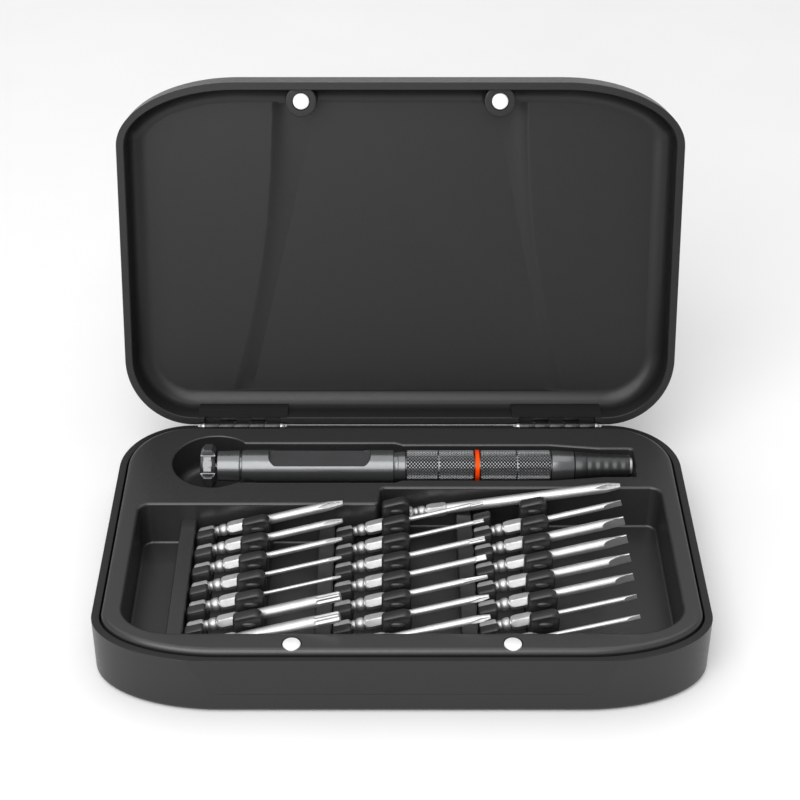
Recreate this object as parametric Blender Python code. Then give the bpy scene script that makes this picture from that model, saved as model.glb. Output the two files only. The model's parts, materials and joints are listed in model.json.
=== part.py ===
"""Precision screwdriver set: a hinged plastic case, a bit tray with rubber bit holders,
a spinning-cap driver handle and 22 hex-shank bits.

Frame: origin under the middle of the base, +Z up, -Y towards the opening side, +Y towards
the hinges. The lid is modelled closed around its hinge axis and then swung open.
"""
import math

import bmesh
import bpy

MM = 0.001
GAP = 0.3 * MM

# Case
CASE_WIDTH = 174.0 * MM
CASE_DEPTH = 109.0 * MM
BASE_HEIGHT = 19.0 * MM
LID_HEIGHT = 14.7 * MM
FRONT_CORNER = (37.0 * MM, 19.5 * MM)
REAR_CORNER = (21.4 * MM, 21.4 * MM)
CORNER_STEPS = 8
RIM_WALL = 2.3 * MM
LOWER_WALL = 4.3 * MM
LEDGE_Z = 15.5 * MM
BASE_FLOOR = 1.8 * MM
BASE_EDGE = 1.6 * MM
LID_EDGE = 2.4 * MM
LID_CEILING = 2.3 * MM
LID_INNER_EDGE = 3.0 * MM
PANEL_RISE = 0.7 * MM

# Lid hinge
LID_OPEN = math.radians(107.8)
AXIS_Y = CASE_DEPTH / 2 + 0.3 * MM
AXIS_Z = BASE_HEIGHT - 0.75 * MM
HINGE_X = 50.3 * MM
BARREL_LENGTH = 24.0 * MM
BARREL_RADIUS = 1.25 * MM
PIN_RADIUS = 0.5 * MM
PIN_BORE_RADIUS = 0.65 * MM
PIN_HEAD_RADIUS = 0.95 * MM
PIN_REACH = BARREL_LENGTH / 2 + 1.7 * MM
PIN_BEVEL = 0.4 * MM
KNUCKLES = 5
NOTCH_HALF = 14.3 * MM
LID_NOTCH_TOP = 23.7 * MM
LEAF_THICKNESS = 0.8 * MM
LEAF_FRONT = CASE_DEPTH / 2 - 2.5 * MM
LEAF_DEPTH_BASE = 7.5 * MM
LEAF_DEPTH_LID = 5.9 * MM
WEB_Y = 53.7 * MM
PAD_FRONT = 50.8 * MM
PAD_BACK = 53.0 * MM
PAD_RAMP = (47.2 * MM, 50.3 * MM, 28.0 * MM)
BASE_LEAF_LOW = LEDGE_Z + GAP
LID_LEAF_LOW = 22.3 * MM
WEB_REACH_BASE = AXIS_Z - BASE_LEAF_LOW - LEAF_THICKNESS / 2
WEB_REACH_LID = LID_LEAF_LOW + LEAF_THICKNESS / 2 - AXIS_Z

# Tray
TRAY_TOP = 20.5 * MM
TRAY_INSET = 2.8 * MM
TRAY_EDGE = 1.5 * MM
TRAY_FLANGE_Z = 15.8 * MM
TRAY_LOWER_INSET = 4.7 * MM
TRAY_BOTTOM = 2.2 * MM
RECESS_FLOOR = 5.5 * MM
RECESS_HALF = 78.7 * MM
RECESS_FRONT = -44.3 * MM
RECESS_BACK_LEFT = 12.4 * MM
RECESS_BACK_RIGHT = 20.2 * MM
RECESS_STEP_X = -6.0 * MM
RIB_TOP = 14.4 * MM
RIB_LOW_TOP = 13.2 * MM
RIB_WIDTH = 4.7 * MM
RIB_GAP = 1.2 * MM
RIB_ROOT = 0.5 * MM
LAST_RIB_BACK = 15.2 * MM

# Driver handle and its channel
HANDLE_Y = 33.05 * MM
HANDLE_Z = 19.0 * MM
CHANNEL_FLOOR = 13.7 * MM
CHANNEL_SKIN = 1.6 * MM
UNDERSIDE_LOW = (-40.0 * MM, 22.0 * MM)
UNDERSIDE_HIGH = (76.0 * MM, 44.5 * MM)
FINGER_HOLE = (-56.6 * MM, 33.3 * MM, 13.5 * MM)
FINGER_FLOOR = 8.5 * MM
HANDLE_SIDES = 24
FLAT_LOW = (-40.7 * MM, -6.0 * MM, 2.9 * MM)
FLAT_HIGH = (-9.1 * MM, 6.0 * MM, 7.0 * MM)
SLEEVE_BORE = 3.3 * MM

# Half widths of the driver's channel along X, in millimetres
CHANNEL_HALF = (
    (-50.0, 9.7),
    (-1.6, 9.7),
    (0.9, 8.8),
    (47.0, 8.8),
    (62.5, 7.1),
    (71.2, 7.1),
    (72.6, 5.7),
)

# Driver stations: place along X and radius, in millimetres
BARREL = (
    (-56.5, 4.65),
    (-49.6, 4.85),
    (-49.5, 4.5),
    (-48.9, 4.5),
    (-48.8, 4.95),
    (-2.1, 4.95),
    (-2.0, 4.35),
    (-0.8, 4.35),
    (-0.7, 4.5),
    (1.6, 4.5),
    (1.6, 3.0),
    (53.5, 3.0),
)
CAP_BORE = ((-59.1, 1.3), (-51.1, 1.3))
REAR_SLEEVE = ((1.9, 4.85), (22.8, 4.85))
ACCENT_RING = ((23.1, 5.05), (24.4, 5.05))
FRONT_SLEEVE = ((24.7, 4.85), (46.4, 4.85))
COLLAR = ((46.7, 4.8), (53.6, 4.5))
NOSE = ((53.9, 4.4), (58.0, 4.2), (70.8, 3.5), (70.8, 2.9), (58.3, 2.9))
SOCKET = ((58.6, 2.6), (71.7, 2.6), (71.7, 2.2), (60.0, 2.2))
SOCKET_MAGNET = ((60.3, 1.8), (62.3, 1.8))
CROWN = ((-61.5, 5.6), (-60.5, 6.85), (-58.0, 6.85), (-57.0, 5.7))
CROWN_BORE = (
    (-57.0, 3.3),
    (-59.4, 3.3),
    (-59.4, 1.4),
    (-60.1, 1.4),
    (-60.1, 2.5),
    (-61.5, 2.5),
)
CROWN_FLAT = 0.94
BEARING = ((-59.1, 3.0), (-57.3, 3.0))
BEARING_BORE = 1.35 * MM
CAP_SCREW = ((-61.2, 1.9), (-61.0, 2.2), (-60.4, 2.2), (-60.4, 1.0), (-51.4, 1.0))

# Magnets
MAGNET_RADIUS = 2.5 * MM
MAGNET_HEIGHT = 2.0 * MM
MAGNET_X = 30.3 * MM
MAGNET_Y = -48.5 * MM
BOSS_RADIUS = 4.8 * MM
BOSS_FACE = BASE_HEIGHT + 1.9 * MM

# Bits
BIT_LENGTH = 45.0 * MM
BIT_TILT = math.radians(16.2)
BIT_HEX = 3.7 * MM
BIT_SIDES = 12
COLUMN_X = (-60.4 * MM, -18.9 * MM, 22.4 * MM)
SHANK_Z = 11.3 * MM
ROW_Y = 8.8 * MM
ROW_PITCH = 8.35 * MM
LONG_LENGTH = 68.0 * MM
LONG_TILT = math.radians(9.54)
LONG_DIAMETER = 3.2 * MM
LONG_TIP = 7.8 * MM
LONG_START = (-0.9 * MM, ROW_Y + ROW_PITCH, 12.4 * MM)

# Shares of the hexagon, and places along a bit in millimetres
SHANK_CHAMFER = 0.82
DETENT_SHARE = 0.78
SHANK_END = (0.4, 4.7)
DETENT = (5.1, 8.4)
COLLAR_ENDS = (8.9, 14.6)
SHAFT_START = 16.4
BLADE_SHARE = 0.25

# Rubber bit holders
FIN_THICKNESS = 3.4 * MM
HOLDER_BACKS = (12.0 * MM, 12.0 * MM, 14.6 * MM)
CRADLE_TOPS = (None, 10.1 * MM, 16.5 * MM)
CRADLE_X = (14.2 * MM, 20.6 * MM)
CRADLE_Y = (11.0 * MM, 19.6 * MM)

# Holder outlines from its shank end: X and Z in millimetres
STRIP = (
    (-0.6, 5.8),
    (21.6, 5.8),
    (21.6, 13.9),
    (13.2, 11.9),
    (13.2, 8.0),
    (4.9, 8.0),
    (4.9, 9.6),
    (-0.6, 8.5),
)
BIG_FIN = (
    (13.2, 5.8),
    (21.6, 5.8),
    (21.6, 21.0),
    (20.9, 22.4),
    (20.1, 22.7),
    (14.2, 20.6),
    (13.2, 19.6),
)
SMALL_FIN = ((-0.6, 5.8), (4.9, 5.8), (4.9, 16.4), (4.4, 16.9), (-0.1, 15.9), (-0.6, 15.3))

# Bits by column, from the back row to the front: kind, shaft diameter and tip length
BITS = (
    (
        ("cross", 2.8 * MM, 8.0 * MM),
        ("cross", 2.3 * MM, 6.2 * MM),
        ("cross", 1.9 * MM, 5.3 * MM),
        ("cross", 1.5 * MM, 4.1 * MM),
        ("cross", 1.2 * MM, 3.0 * MM),
        ("star", 3.2 * MM, 7.0 * MM),
        ("star", 3.4 * MM, 7.3 * MM),
    ),
    (
        ("star", 1.5 * MM, 3.8 * MM),
        ("star", 1.35 * MM, 3.2 * MM),
        ("star", 1.9 * MM, 5.0 * MM),
        ("triangle", 2.0 * MM, 3.3 * MM),
        ("five_lobe", 2.1 * MM, 7.0 * MM),
        ("tri_wing", 2.2 * MM, 5.4 * MM),
        ("tri_wing", 2.4 * MM, 5.7 * MM),
    ),
    (
        ("slotted", 2.1 * MM, 5.3 * MM),
        ("slotted", 3.1 * MM, 6.5 * MM),
        ("slotted", 3.1 * MM, 6.9 * MM),
        ("slotted", 3.0 * MM, 6.3 * MM),
        ("slotted", 2.6 * MM, 5.3 * MM),
        ("slotted", 1.6 * MM, 3.6 * MM),
        ("slotted", 1.5 * MM, 3.6 * MM),
    ),
)


# ---------------------------------------------------------------- scene and materials

def clear_scene():
    """Remove every object, so that the file can be run again."""
    for item in list(bpy.data.objects):
        bpy.data.objects.remove(item, do_unlink=True)


def material(name, color, roughness, metallic):
    """A Principled material with one colour."""
    made = bpy.data.materials.new(name)
    made.use_nodes = True
    shader = made.node_tree.nodes["Principled BSDF"]
    shader.inputs["Base Color"].default_value = (*color, 1.0)
    shader.inputs["Roughness"].default_value = roughness
    shader.inputs["Metallic"].default_value = metallic
    return made


def add_object(name, bm, made_material, location=(0.0, 0.0, 0.0), smooth=False):
    """Turn a bmesh into a named object with outward faces."""
    bmesh.ops.recalc_face_normals(bm, faces=bm.faces)
    mesh = bpy.data.meshes.new(name)
    bm.to_mesh(mesh)
    bm.free()
    if smooth:
        mesh.shade_smooth()
        mesh.set_sharp_from_angle(angle=math.radians(35))
    item = bpy.data.objects.new(name, mesh)
    item.data.materials.append(made_material)
    item.location = location
    bpy.context.scene.collection.objects.link(item)
    return item


def boolean(item, name, tool, operation):
    """Apply a cutter or a joined piece to an object with a Boolean modifier."""
    tool.hide_render = True
    tool.display_type = "WIRE"
    tool.parent = item
    modifier = item.modifiers.new(name, "BOOLEAN")
    modifier.operation = operation
    modifier.object = tool
    modifier.solver = "EXACT"


# ---------------------------------------------------------------- shapes

def add_loft(bm, rings):
    """Bridge rings of equally many points, and cap both ends."""
    made = [[bm.verts.new(point) for point in ring] for ring in rings]
    count = len(made[0])
    for low, high in zip(made, made[1:]):
        for i in range(count):
            j = (i + 1) % count
            bm.faces.new((low[i], low[j], high[j], high[i]))
    bm.faces.new(list(reversed(made[0])))
    bm.faces.new(made[-1])


def loft_mesh(rings):
    """A bmesh holding one loft."""
    bm = bmesh.new()
    add_loft(bm, rings)
    return bm


def add_box(bm, low, high):
    """An axis-aligned box between two corners."""
    (x0, y0, z0), (x1, y1, z1) = low, high
    outline = ((x0, y0), (x1, y0), (x1, y1), (x0, y1))
    add_loft(bm, [[(x, y, z) for x, y in outline] for z in (z0, z1)])


def add_prism(bm, outline, low, high):
    """An outline in the XY plane, extruded between two heights."""
    add_loft(bm, [[(x, y, z) for x, y in outline] for z in (low, high)])


def add_profile(bm, outline, y0, y1):
    """An outline in the XZ plane, extruded between two places along Y."""
    add_loft(bm, [[(x, y, z) for x, z in outline] for y in (y0, y1)])


def add_disc(bm, center, radius, low, high, sides=20):
    """An upright cylinder."""
    outline = [
        (center[0] + radius * math.cos(angle), center[1] + radius * math.sin(angle))
        for angle in (2 * math.pi * i / sides for i in range(sides))
    ]
    add_prism(bm, outline, low, high)


def arc(center, radii, start, sweep, steps):
    """Points on an elliptical arc, ends included."""
    angles = [start + sweep * i / steps for i in range(steps + 1)]
    return [
        (center[0] + radii[0] * math.cos(a), center[1] + radii[1] * math.sin(a)) for a in angles
    ]


def case_outline(inset=0.0):
    """The case's outline: elliptical front corners and round rear corners."""
    half_x = CASE_WIDTH / 2
    half_y = CASE_DEPTH / 2
    front = (FRONT_CORNER[0] - inset, FRONT_CORNER[1] - inset)
    rear = (REAR_CORNER[0] - inset, REAR_CORNER[1] - inset)
    rear_x, rear_y = half_x - REAR_CORNER[0], half_y - REAR_CORNER[1]
    front_x, front_y = half_x - FRONT_CORNER[0], FRONT_CORNER[1] - half_y
    quarter = math.pi / 2
    points = arc((rear_x, rear_y), rear, 0, quarter, CORNER_STEPS)
    points += arc((-rear_x, rear_y), rear, quarter, quarter, CORNER_STEPS)
    points += arc((-front_x, front_y), front, 2 * quarter, quarter, CORNER_STEPS)
    points += arc((front_x, front_y), front, 3 * quarter, quarter, CORNER_STEPS)
    return points


def case_ring(z, inset=0.0):
    """The case's outline at one height."""
    return [(x, y, z) for x, y in case_outline(inset)]


def turned_ring(x, radius, sides=HANDLE_SIDES):
    """A ring of points around the X axis."""
    return [
        (x, radius * math.cos(a), radius * math.sin(a))
        for a in (2 * math.pi * i / sides for i in range(sides))
    ]


def turned(profile, sides=HANDLE_SIDES):
    """A solid turned around the X axis from (x, radius) stations."""
    return loft_mesh([turned_ring(x, radius, sides) for x, radius in profile])


def closed_loop(rings):
    """A bmesh that bridges rings of equally many points, the last one back to the first."""
    bm = bmesh.new()
    made = [[bm.verts.new(point) for point in ring] for ring in rings]
    count = len(made[0])
    for low, high in zip(made, made[1:] + made[:1]):
        for i in range(count):
            j = (i + 1) % count
            bm.faces.new((low[i], low[j], high[j], high[i]))
    return bm


def sleeve(stations, bore, sides=HANDLE_SIDES):
    """A tube around the X axis: (x, radius) stations outside, one bore inside."""
    profile = list(stations)
    profile += [(stations[-1][0], bore), (stations[0][0], bore)]
    return closed_loop([turned_ring(x, radius, sides) for x, radius in profile])


def scaled(points):
    """A table in millimetres, turned into metres."""
    return [(a * MM, b * MM) for a, b in points]


# ---------------------------------------------------------------- case base

def make_base(plastic):
    """The lower shell, with a ledge for the tray and two hinge seats."""
    inner = RIM_WALL
    rings = [
        case_ring(0.0, BASE_EDGE),
        case_ring(0.3 * BASE_EDGE, 0.3 * BASE_EDGE),
        case_ring(BASE_EDGE, 0.0),
        case_ring(BASE_HEIGHT, 0.0),
        case_ring(BASE_HEIGHT, inner),
        case_ring(LEDGE_Z, inner),
        case_ring(LEDGE_Z, LOWER_WALL),
        case_ring(BASE_FLOOR, LOWER_WALL),
    ]
    base = add_object("base_shell", loft_mesh(rings), plastic)
    notches = add_object("base_hinge_notches", base_notches(), plastic)
    boolean(base, "hinge_notches", notches, "DIFFERENCE")
    slots = add_object("base_leaf_slots", base_leaf_slots(), plastic)
    boolean(base, "leaf_slots", slots, "DIFFERENCE")


def base_notches():
    """The openings in the base's back rim that the hinge barrels turn in."""
    bm = bmesh.new()
    front = CASE_DEPTH / 2 - RIM_WALL - 0.2 * MM
    for side in (-1, 1):
        x = side * HINGE_X
        add_box(bm, (x - NOTCH_HALF, front, LEDGE_Z),
                (x + NOTCH_HALF, front + 5 * MM, BASE_HEIGHT + 2 * MM))
    return bm


def base_leaf_slots():
    """The slots in the base's back wall that hold the hinge leaves."""
    bm = bmesh.new()
    half = BARREL_LENGTH / 2 + 2 * GAP
    for side in (-1, 1):
        x = side * HINGE_X
        add_box(bm, (x - half, LEAF_FRONT - GAP, BASE_LEAF_LOW - LEAF_DEPTH_BASE - GAP),
                (x + half, LEAF_FRONT + LEAF_THICKNESS + GAP, LEDGE_Z + 1 * MM))
    return bm


# ---------------------------------------------------------------- tray

def recess_outline():
    """The bit recess: a rounded L, wider at the back on the right."""
    right = RECESS_HALF
    corner = 4.0 * MM
    step = 2.5 * MM
    front = (16.0 * MM, 11.0 * MM)
    quarter = math.pi / 2
    points = arc((right - corner, RECESS_BACK_RIGHT - corner), (corner, corner), 0, quarter, 4)
    points += arc((RECESS_STEP_X + step, RECESS_BACK_RIGHT - step), (step, step), quarter, quarter, 3)
    points += arc((RECESS_STEP_X - step, RECESS_BACK_LEFT + step), (step, step), 0, -quarter, 3)
    points += arc((-right + corner, RECESS_BACK_LEFT - corner), (corner, corner), quarter, quarter, 4)
    points += arc((-right + front[0], RECESS_FRONT + front[1]), front, 2 * quarter, quarter, 6)
    points += arc((right - front[0], RECESS_FRONT + front[1]), front, 3 * quarter, quarter, 6)
    return points


def channel_outline():
    """The handle channel: widest at the barrel, narrowing towards the nose."""
    half = scaled(CHANNEL_HALF)
    back = [(x, HANDLE_Y + y) for x, y in reversed(half)]
    front = [(x, HANDLE_Y - y) for x, y in half]
    return front + back


def tray_cuts():
    """The cutters for the tray's recess, channel, finger hole, magnet pockets and underside."""
    groups = {}
    for name in ("recess", "channel", "finger_hole", "pockets", "underside"):
        groups[name] = bmesh.new()
    over = TRAY_TOP + 2 * MM
    add_prism(groups["recess"], recess_outline(), RECESS_FLOOR, over)
    add_prism(groups["channel"], channel_outline(), CHANNEL_FLOOR, over)
    hole_x, hole_y, hole_radius = FINGER_HOLE
    add_disc(groups["finger_hole"], (hole_x, hole_y), hole_radius, FINGER_FLOOR, over, 28)
    for side in (-1, 1):
        pocket = (side * MAGNET_X, MAGNET_Y)
        add_disc(groups["pockets"], pocket, MAGNET_RADIUS + GAP, TRAY_TOP - MAGNET_HEIGHT - GAP, over)
    add_box(groups["underside"], (*UNDERSIDE_LOW, TRAY_BOTTOM - 1 * MM),
            (*UNDERSIDE_HIGH, CHANNEL_FLOOR - CHANNEL_SKIN))
    return groups


def make_tray(plastic):
    """The moulded insert: flange, recesses and the ribs that the shank ends meet."""
    lower = TRAY_LOWER_INSET
    edge = TRAY_EDGE
    rings = [
        case_ring(TRAY_BOTTOM, lower),
        case_ring(TRAY_FLANGE_Z, lower),
        case_ring(TRAY_FLANGE_Z, TRAY_INSET),
        case_ring(TRAY_TOP - edge, TRAY_INSET),
        case_ring(TRAY_TOP - 0.3 * edge, TRAY_INSET + 0.3 * edge),
        case_ring(TRAY_TOP, TRAY_INSET + edge),
    ]
    tray = add_object("bit_tray", loft_mesh(rings), plastic)
    for name, bm in tray_cuts().items():
        boolean(tray, name, add_object("tray_cut_" + name, bm, plastic), "DIFFERENCE")
    boolean(tray, "ribs", add_object("tray_ribs", tray_ribs(), plastic), "UNION")


def tray_ribs():
    """The ribs that the shank ends meet; the last one is lower where the long bit crosses it."""
    bm = bmesh.new()
    front = RECESS_FRONT - GAP
    foot = RECESS_FLOOR - RIB_ROOT
    for start in COLUMN_X:
        back = RECESS_BACK_LEFT + GAP
        outline = [(front, foot), (back, foot), (back, RIB_TOP), (front, RIB_TOP)]
        if start == COLUMN_X[-1]:
            back = LAST_RIB_BACK
            far = RECESS_BACK_RIGHT + GAP
            outline = [(front, foot), (far, foot), (far, RIB_LOW_TOP), (back, RIB_LOW_TOP)]
            outline += [(back, RIB_TOP), (front, RIB_TOP)]
        right = start - RIB_GAP
        add_loft(bm, [[(x, y, z) for y, z in outline] for x in (right - RIB_WIDTH, right)])
    return bm


# ---------------------------------------------------------------- lid

def panel_edge(y):
    """Half width of the lid's middle panel at one place along the closed lid."""
    toward_hinge = (y + CASE_DEPTH / 2) / CASE_DEPTH
    return (39.0 + 15.0 * toward_hinge ** 2.2) * MM


def panel_outline(margin, widen=0.0):
    """The lid's middle panel: its sides flare towards the hinges."""
    low = -CASE_DEPTH / 2 + margin
    high = CASE_DEPTH / 2 - margin
    steps = 8
    places = [low + (high - low) * i / steps for i in range(steps + 1)]
    right = [(panel_edge(y) + widen, y) for y in places]
    left = [(-panel_edge(y) - widen, y) for y in reversed(places)]
    return right + left


def around_axis(points):
    """Move a closed-lid outline or ring into the lid's own frame, centred on the hinge axis."""
    return [(x, y - AXIS_Y, z - AXIS_Z) for x, y, z in points]


def swing_open(item):
    """Put a lid piece on the hinge axis and open it."""
    item.location = (0.0, AXIS_Y, AXIS_Z)
    item.rotation_euler = (-LID_OPEN, 0.0, 0.0)


def lid_relief(low, high, margin, widen):
    """A prism of the middle panel in the lid's frame, with sloping sides."""
    bottom = [(x, y, low) for x, y in panel_outline(margin)]
    top = [(x, y, high) for x, y in panel_outline(margin, widen)]
    return loft_mesh([around_axis(bottom), around_axis(top)])


def make_lid(plastic):
    """The lid shell with magnet bosses, hinge pads and a flared middle panel."""
    rim = BASE_HEIGHT + GAP
    top = rim + LID_HEIGHT - PANEL_RISE
    ceiling = top - LID_CEILING
    wall = RIM_WALL + 0.1 * MM
    edge = LID_EDGE
    inner = LID_INNER_EDGE
    rings = [
        case_ring(top, edge),
        case_ring(top - 0.3 * edge, 0.3 * edge),
        case_ring(top - edge, 0.0),
        case_ring(rim, 0.0),
        case_ring(rim, wall),
        case_ring(ceiling - inner, wall),
        case_ring(ceiling - 0.3 * inner, wall + 0.3 * inner),
        case_ring(ceiling, wall + inner),
    ]
    lid = add_object("lid_shell", loft_mesh([around_axis(r) for r in rings]), plastic)
    swing_open(lid)
    outside = lid_relief(top - 1.0 * MM, top + PANEL_RISE, edge + 0.2 * MM, -1.5 * MM)
    boolean(lid, "raised_panel", add_object("lid_panel_outside", outside, plastic), "UNION")
    inside = lid_relief(ceiling - 0.4 * MM, ceiling + PANEL_RISE, wall + inner + 0.2 * MM, -1.5 * MM)
    boolean(lid, "sunk_panel", add_object("lid_panel_inside", inside, plastic), "DIFFERENCE")
    boolean(lid, "bosses", add_object("lid_bosses", lid_bosses(ceiling), plastic), "UNION")
    boolean(lid, "notches", add_object("lid_notches", lid_notches(), plastic), "DIFFERENCE")
    boolean(lid, "pockets", add_object("lid_pockets", lid_pockets(), plastic), "DIFFERENCE")


def lid_bosses(ceiling):
    """Magnet bosses by the opening edge, and the pads that hold the hinge leaves."""
    bm = bmesh.new()
    up = ceiling + 1.2 * MM
    for side in (-1, 1):
        center = (side * MAGNET_X, MAGNET_Y - AXIS_Y)
        add_disc(bm, center, BOSS_RADIUS, BOSS_FACE - AXIS_Z, up - AXIS_Z)
        x = side * HINGE_X
        reach = NOTCH_HALF - 0.5 * MM
        top_y, bend_y, bend_z = PAD_RAMP
        profile = (
            (BOSS_FACE, PAD_FRONT),
            (BOSS_FACE, PAD_BACK),
            (up, PAD_BACK),
            (up, top_y),
            (bend_z, bend_y),
        )
        bottom = [(x - reach, y - AXIS_Y, z - AXIS_Z) for z, y in profile]
        top = [(x + reach, y, z) for _, y, z in bottom]
        add_loft(bm, [bottom, top])
    return bm


def lid_pockets():
    """Magnet holes in the bosses, and the slots that the hinge leaves sit in."""
    bm = bmesh.new()
    half = BARREL_LENGTH / 2 + 2 * GAP
    for side in (-1, 1):
        center = (side * MAGNET_X, MAGNET_Y - AXIS_Y)
        add_disc(bm, center, MAGNET_RADIUS + GAP, BOSS_FACE - 1 * MM - AXIS_Z,
                 BOSS_FACE + MAGNET_HEIGHT + GAP - AXIS_Z)
        x = side * HINGE_X
        front = LEAF_FRONT - GAP - AXIS_Y
        back = LEAF_FRONT + LEAF_THICKNESS + GAP - AXIS_Y
        top = LID_LEAF_LOW + LEAF_DEPTH_LID + GAP - AXIS_Z
        add_box(bm, (x - half, front, LID_LEAF_LOW - GAP - AXIS_Z), (x + half, back, top))
    return bm


def lid_notches():
    """The openings in the lid's back wall that the hinge barrels turn in."""
    bm = bmesh.new()
    front = CASE_DEPTH / 2 - RIM_WALL - 0.2 * MM - AXIS_Y
    for side in (-1, 1):
        x = side * HINGE_X
        add_box(bm, (x - NOTCH_HALF, front, BASE_HEIGHT - 1 * MM - AXIS_Z),
                (x + NOTCH_HALF, front + 5 * MM, LID_NOTCH_TOP - AXIS_Z))
    return bm


# ---------------------------------------------------------------- hinges

def knuckle_span(index):
    """Where one knuckle lies along the barrel, from its middle."""
    length = (BARREL_LENGTH - (KNUCKLES - 1) * GAP) / KNUCKLES
    start = -BARREL_LENGTH / 2 + index * (length + GAP)
    return start, start + length


def knuckle_outline(up):
    """A knuckle with its web, as an outline in the YZ plane around the hinge axis."""
    web_front = WEB_Y - AXIS_Y
    web_back = web_front + LEAF_THICKNESS
    start = math.atan2(math.sqrt(BARREL_RADIUS ** 2 - web_back ** 2), web_back)
    end = math.atan2(math.sqrt(BARREL_RADIUS ** 2 - web_front ** 2), web_front)
    sweep = end - start - 2 * math.pi
    points = arc((0.0, 0.0), (BARREL_RADIUS, BARREL_RADIUS), start, sweep, 16)
    reach = WEB_REACH_LID if up else WEB_REACH_BASE
    points += [(web_front, reach), (web_back, reach)]
    return [(y, z if up else -z) for y, z in points]


def make_leaf(name, x, indices, plate_low, up, metal):
    """One hinge leaf: a bent plate, and a web and a bored knuckle for each index."""
    plate = bmesh.new()
    half = BARREL_LENGTH / 2 + 0.1 * MM
    front = LEAF_FRONT - AXIS_Y
    back = WEB_Y + LEAF_THICKNESS + 0.1 * MM - AXIS_Y
    low = plate_low - AXIS_Z
    high = low + LEAF_THICKNESS
    bend, flat = (high, low) if up else (low, high)
    far = high + LEAF_DEPTH_LID - LEAF_THICKNESS if up else low - LEAF_DEPTH_BASE
    outline = ((front, far), (front + LEAF_THICKNESS, far), (front + LEAF_THICKNESS, bend),
               (back, bend), (back, flat), (front, flat))
    add_loft(plate, [[(x + end, y, z) for y, z in outline] for end in (-half, half)])
    leaf = add_object(name, plate, metal, (0.0, AXIS_Y, AXIS_Z))
    knuckles = bmesh.new()
    for index in indices:
        rings = [[(x + end, y, z) for y, z in knuckle_outline(up)] for end in knuckle_span(index)]
        add_loft(knuckles, rings)
    boolean(leaf, "knuckles", add_object(name + "_knuckles", knuckles, metal), "UNION")
    reach = BARREL_LENGTH / 2 + 2 * MM
    bore = turned([(x - reach, PIN_BORE_RADIUS), (x + reach, PIN_BORE_RADIUS)], 16)
    boolean(leaf, "bore", add_object(name + "_bore", bore, metal), "DIFFERENCE")
    return leaf


def pin_profile(x):
    """A pin with a head at each end, as (x, radius) stations."""
    under_head = BARREL_LENGTH / 2 + 0.1 * MM
    half = [
        (under_head, PIN_RADIUS),
        (under_head, PIN_HEAD_RADIUS),
        (PIN_REACH - PIN_BEVEL, PIN_HEAD_RADIUS),
        (PIN_REACH, PIN_RADIUS),
    ]
    return [(x - s, r) for s, r in reversed(half)] + [(x + s, r) for s, r in half]


def make_hinge(side, label, metal, steel):
    """One butt hinge: three base knuckles, two lid knuckles and a pin."""
    x = side * HINGE_X
    make_leaf(f"hinge_{label}_base_leaf", x, (0, 2, 4), BASE_LEAF_LOW, False, metal)
    swing_open(make_leaf(f"hinge_{label}_lid_leaf", x, (1, 3), LID_LEAF_LOW, True, metal))
    pin = turned(pin_profile(x), 16)
    add_object(f"hinge_{label}_pin", pin, steel, (0.0, AXIS_Y, AXIS_Z), True)


# ---------------------------------------------------------------- magnets

def make_magnets(nickel):
    """Two magnets flush in the tray's front strip and two in the lid's bosses."""
    for side, label in ((-1, "left"), (1, "right")):
        bm = bmesh.new()
        add_disc(bm, (side * MAGNET_X, MAGNET_Y), MAGNET_RADIUS, TRAY_TOP - MAGNET_HEIGHT, TRAY_TOP)
        add_object(f"tray_magnet_{label}", bm, nickel, (0.0, 0.0, 0.0), True)
        bm = bmesh.new()
        low = BOSS_FACE - AXIS_Z
        add_disc(bm, (side * MAGNET_X, MAGNET_Y - AXIS_Y), MAGNET_RADIUS, low, low + MAGNET_HEIGHT)
        swing_open(add_object(f"lid_magnet_{label}", bm, nickel, (0.0, 0.0, 0.0), True))


# ---------------------------------------------------------------- bit holders

def shifted(outline, x):
    """An XZ outline in millimetres, moved along X and turned into metres."""
    return [(x + px, pz) for px, pz in scaled(outline)]


def holder_fins(column):
    """The fins between the rows; column 2 has no small one at the back, under the long bit."""
    x = COLUMN_X[column]
    bm = bmesh.new()
    for row in range(0 if column == 0 else -1, 6):
        y = ROW_Y - (row + 0.5) * ROW_PITCH
        outlines = (BIG_FIN,) if (column, row) == (1, -1) else (BIG_FIN, SMALL_FIN)
        for outline in outlines:
            add_profile(bm, shifted(outline, x), y - FIN_THICKNESS / 2, y + FIN_THICKNESS / 2)
    return bm


def make_holder(column, rubber):
    """One rubber holder: a low strip, pedestals under the shanks, and fins between the rows."""
    x = COLUMN_X[column]
    bm = bmesh.new()
    add_profile(bm, shifted(STRIP, x), RECESS_FRONT + 2 * GAP, HOLDER_BACKS[column])
    holder = add_object(f"bit_holder_{column + 1}", bm, rubber)
    fins = add_object(f"holder_fins_{column + 1}", holder_fins(column), rubber)
    boolean(holder, "fins", fins, "UNION")
    top = CRADLE_TOPS[column]
    if top:
        bm = bmesh.new()
        low = (x + CRADLE_X[0], CRADLE_Y[0], RECESS_FLOOR + GAP)
        add_box(bm, low, (x + CRADLE_X[1], CRADLE_Y[1], top))
        cradle = add_object(f"holder_cradle_{column + 1}", bm, rubber)
        boolean(holder, "cradle", cradle, "UNION")


# ---------------------------------------------------------------- bits

def hex_radius(angle, across):
    """Distance from the middle of a hexagon to its side, with flats facing up and down."""
    turn = (angle % (math.pi / 3)) - math.pi / 6
    return across / 2 / math.cos(turn)


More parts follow.
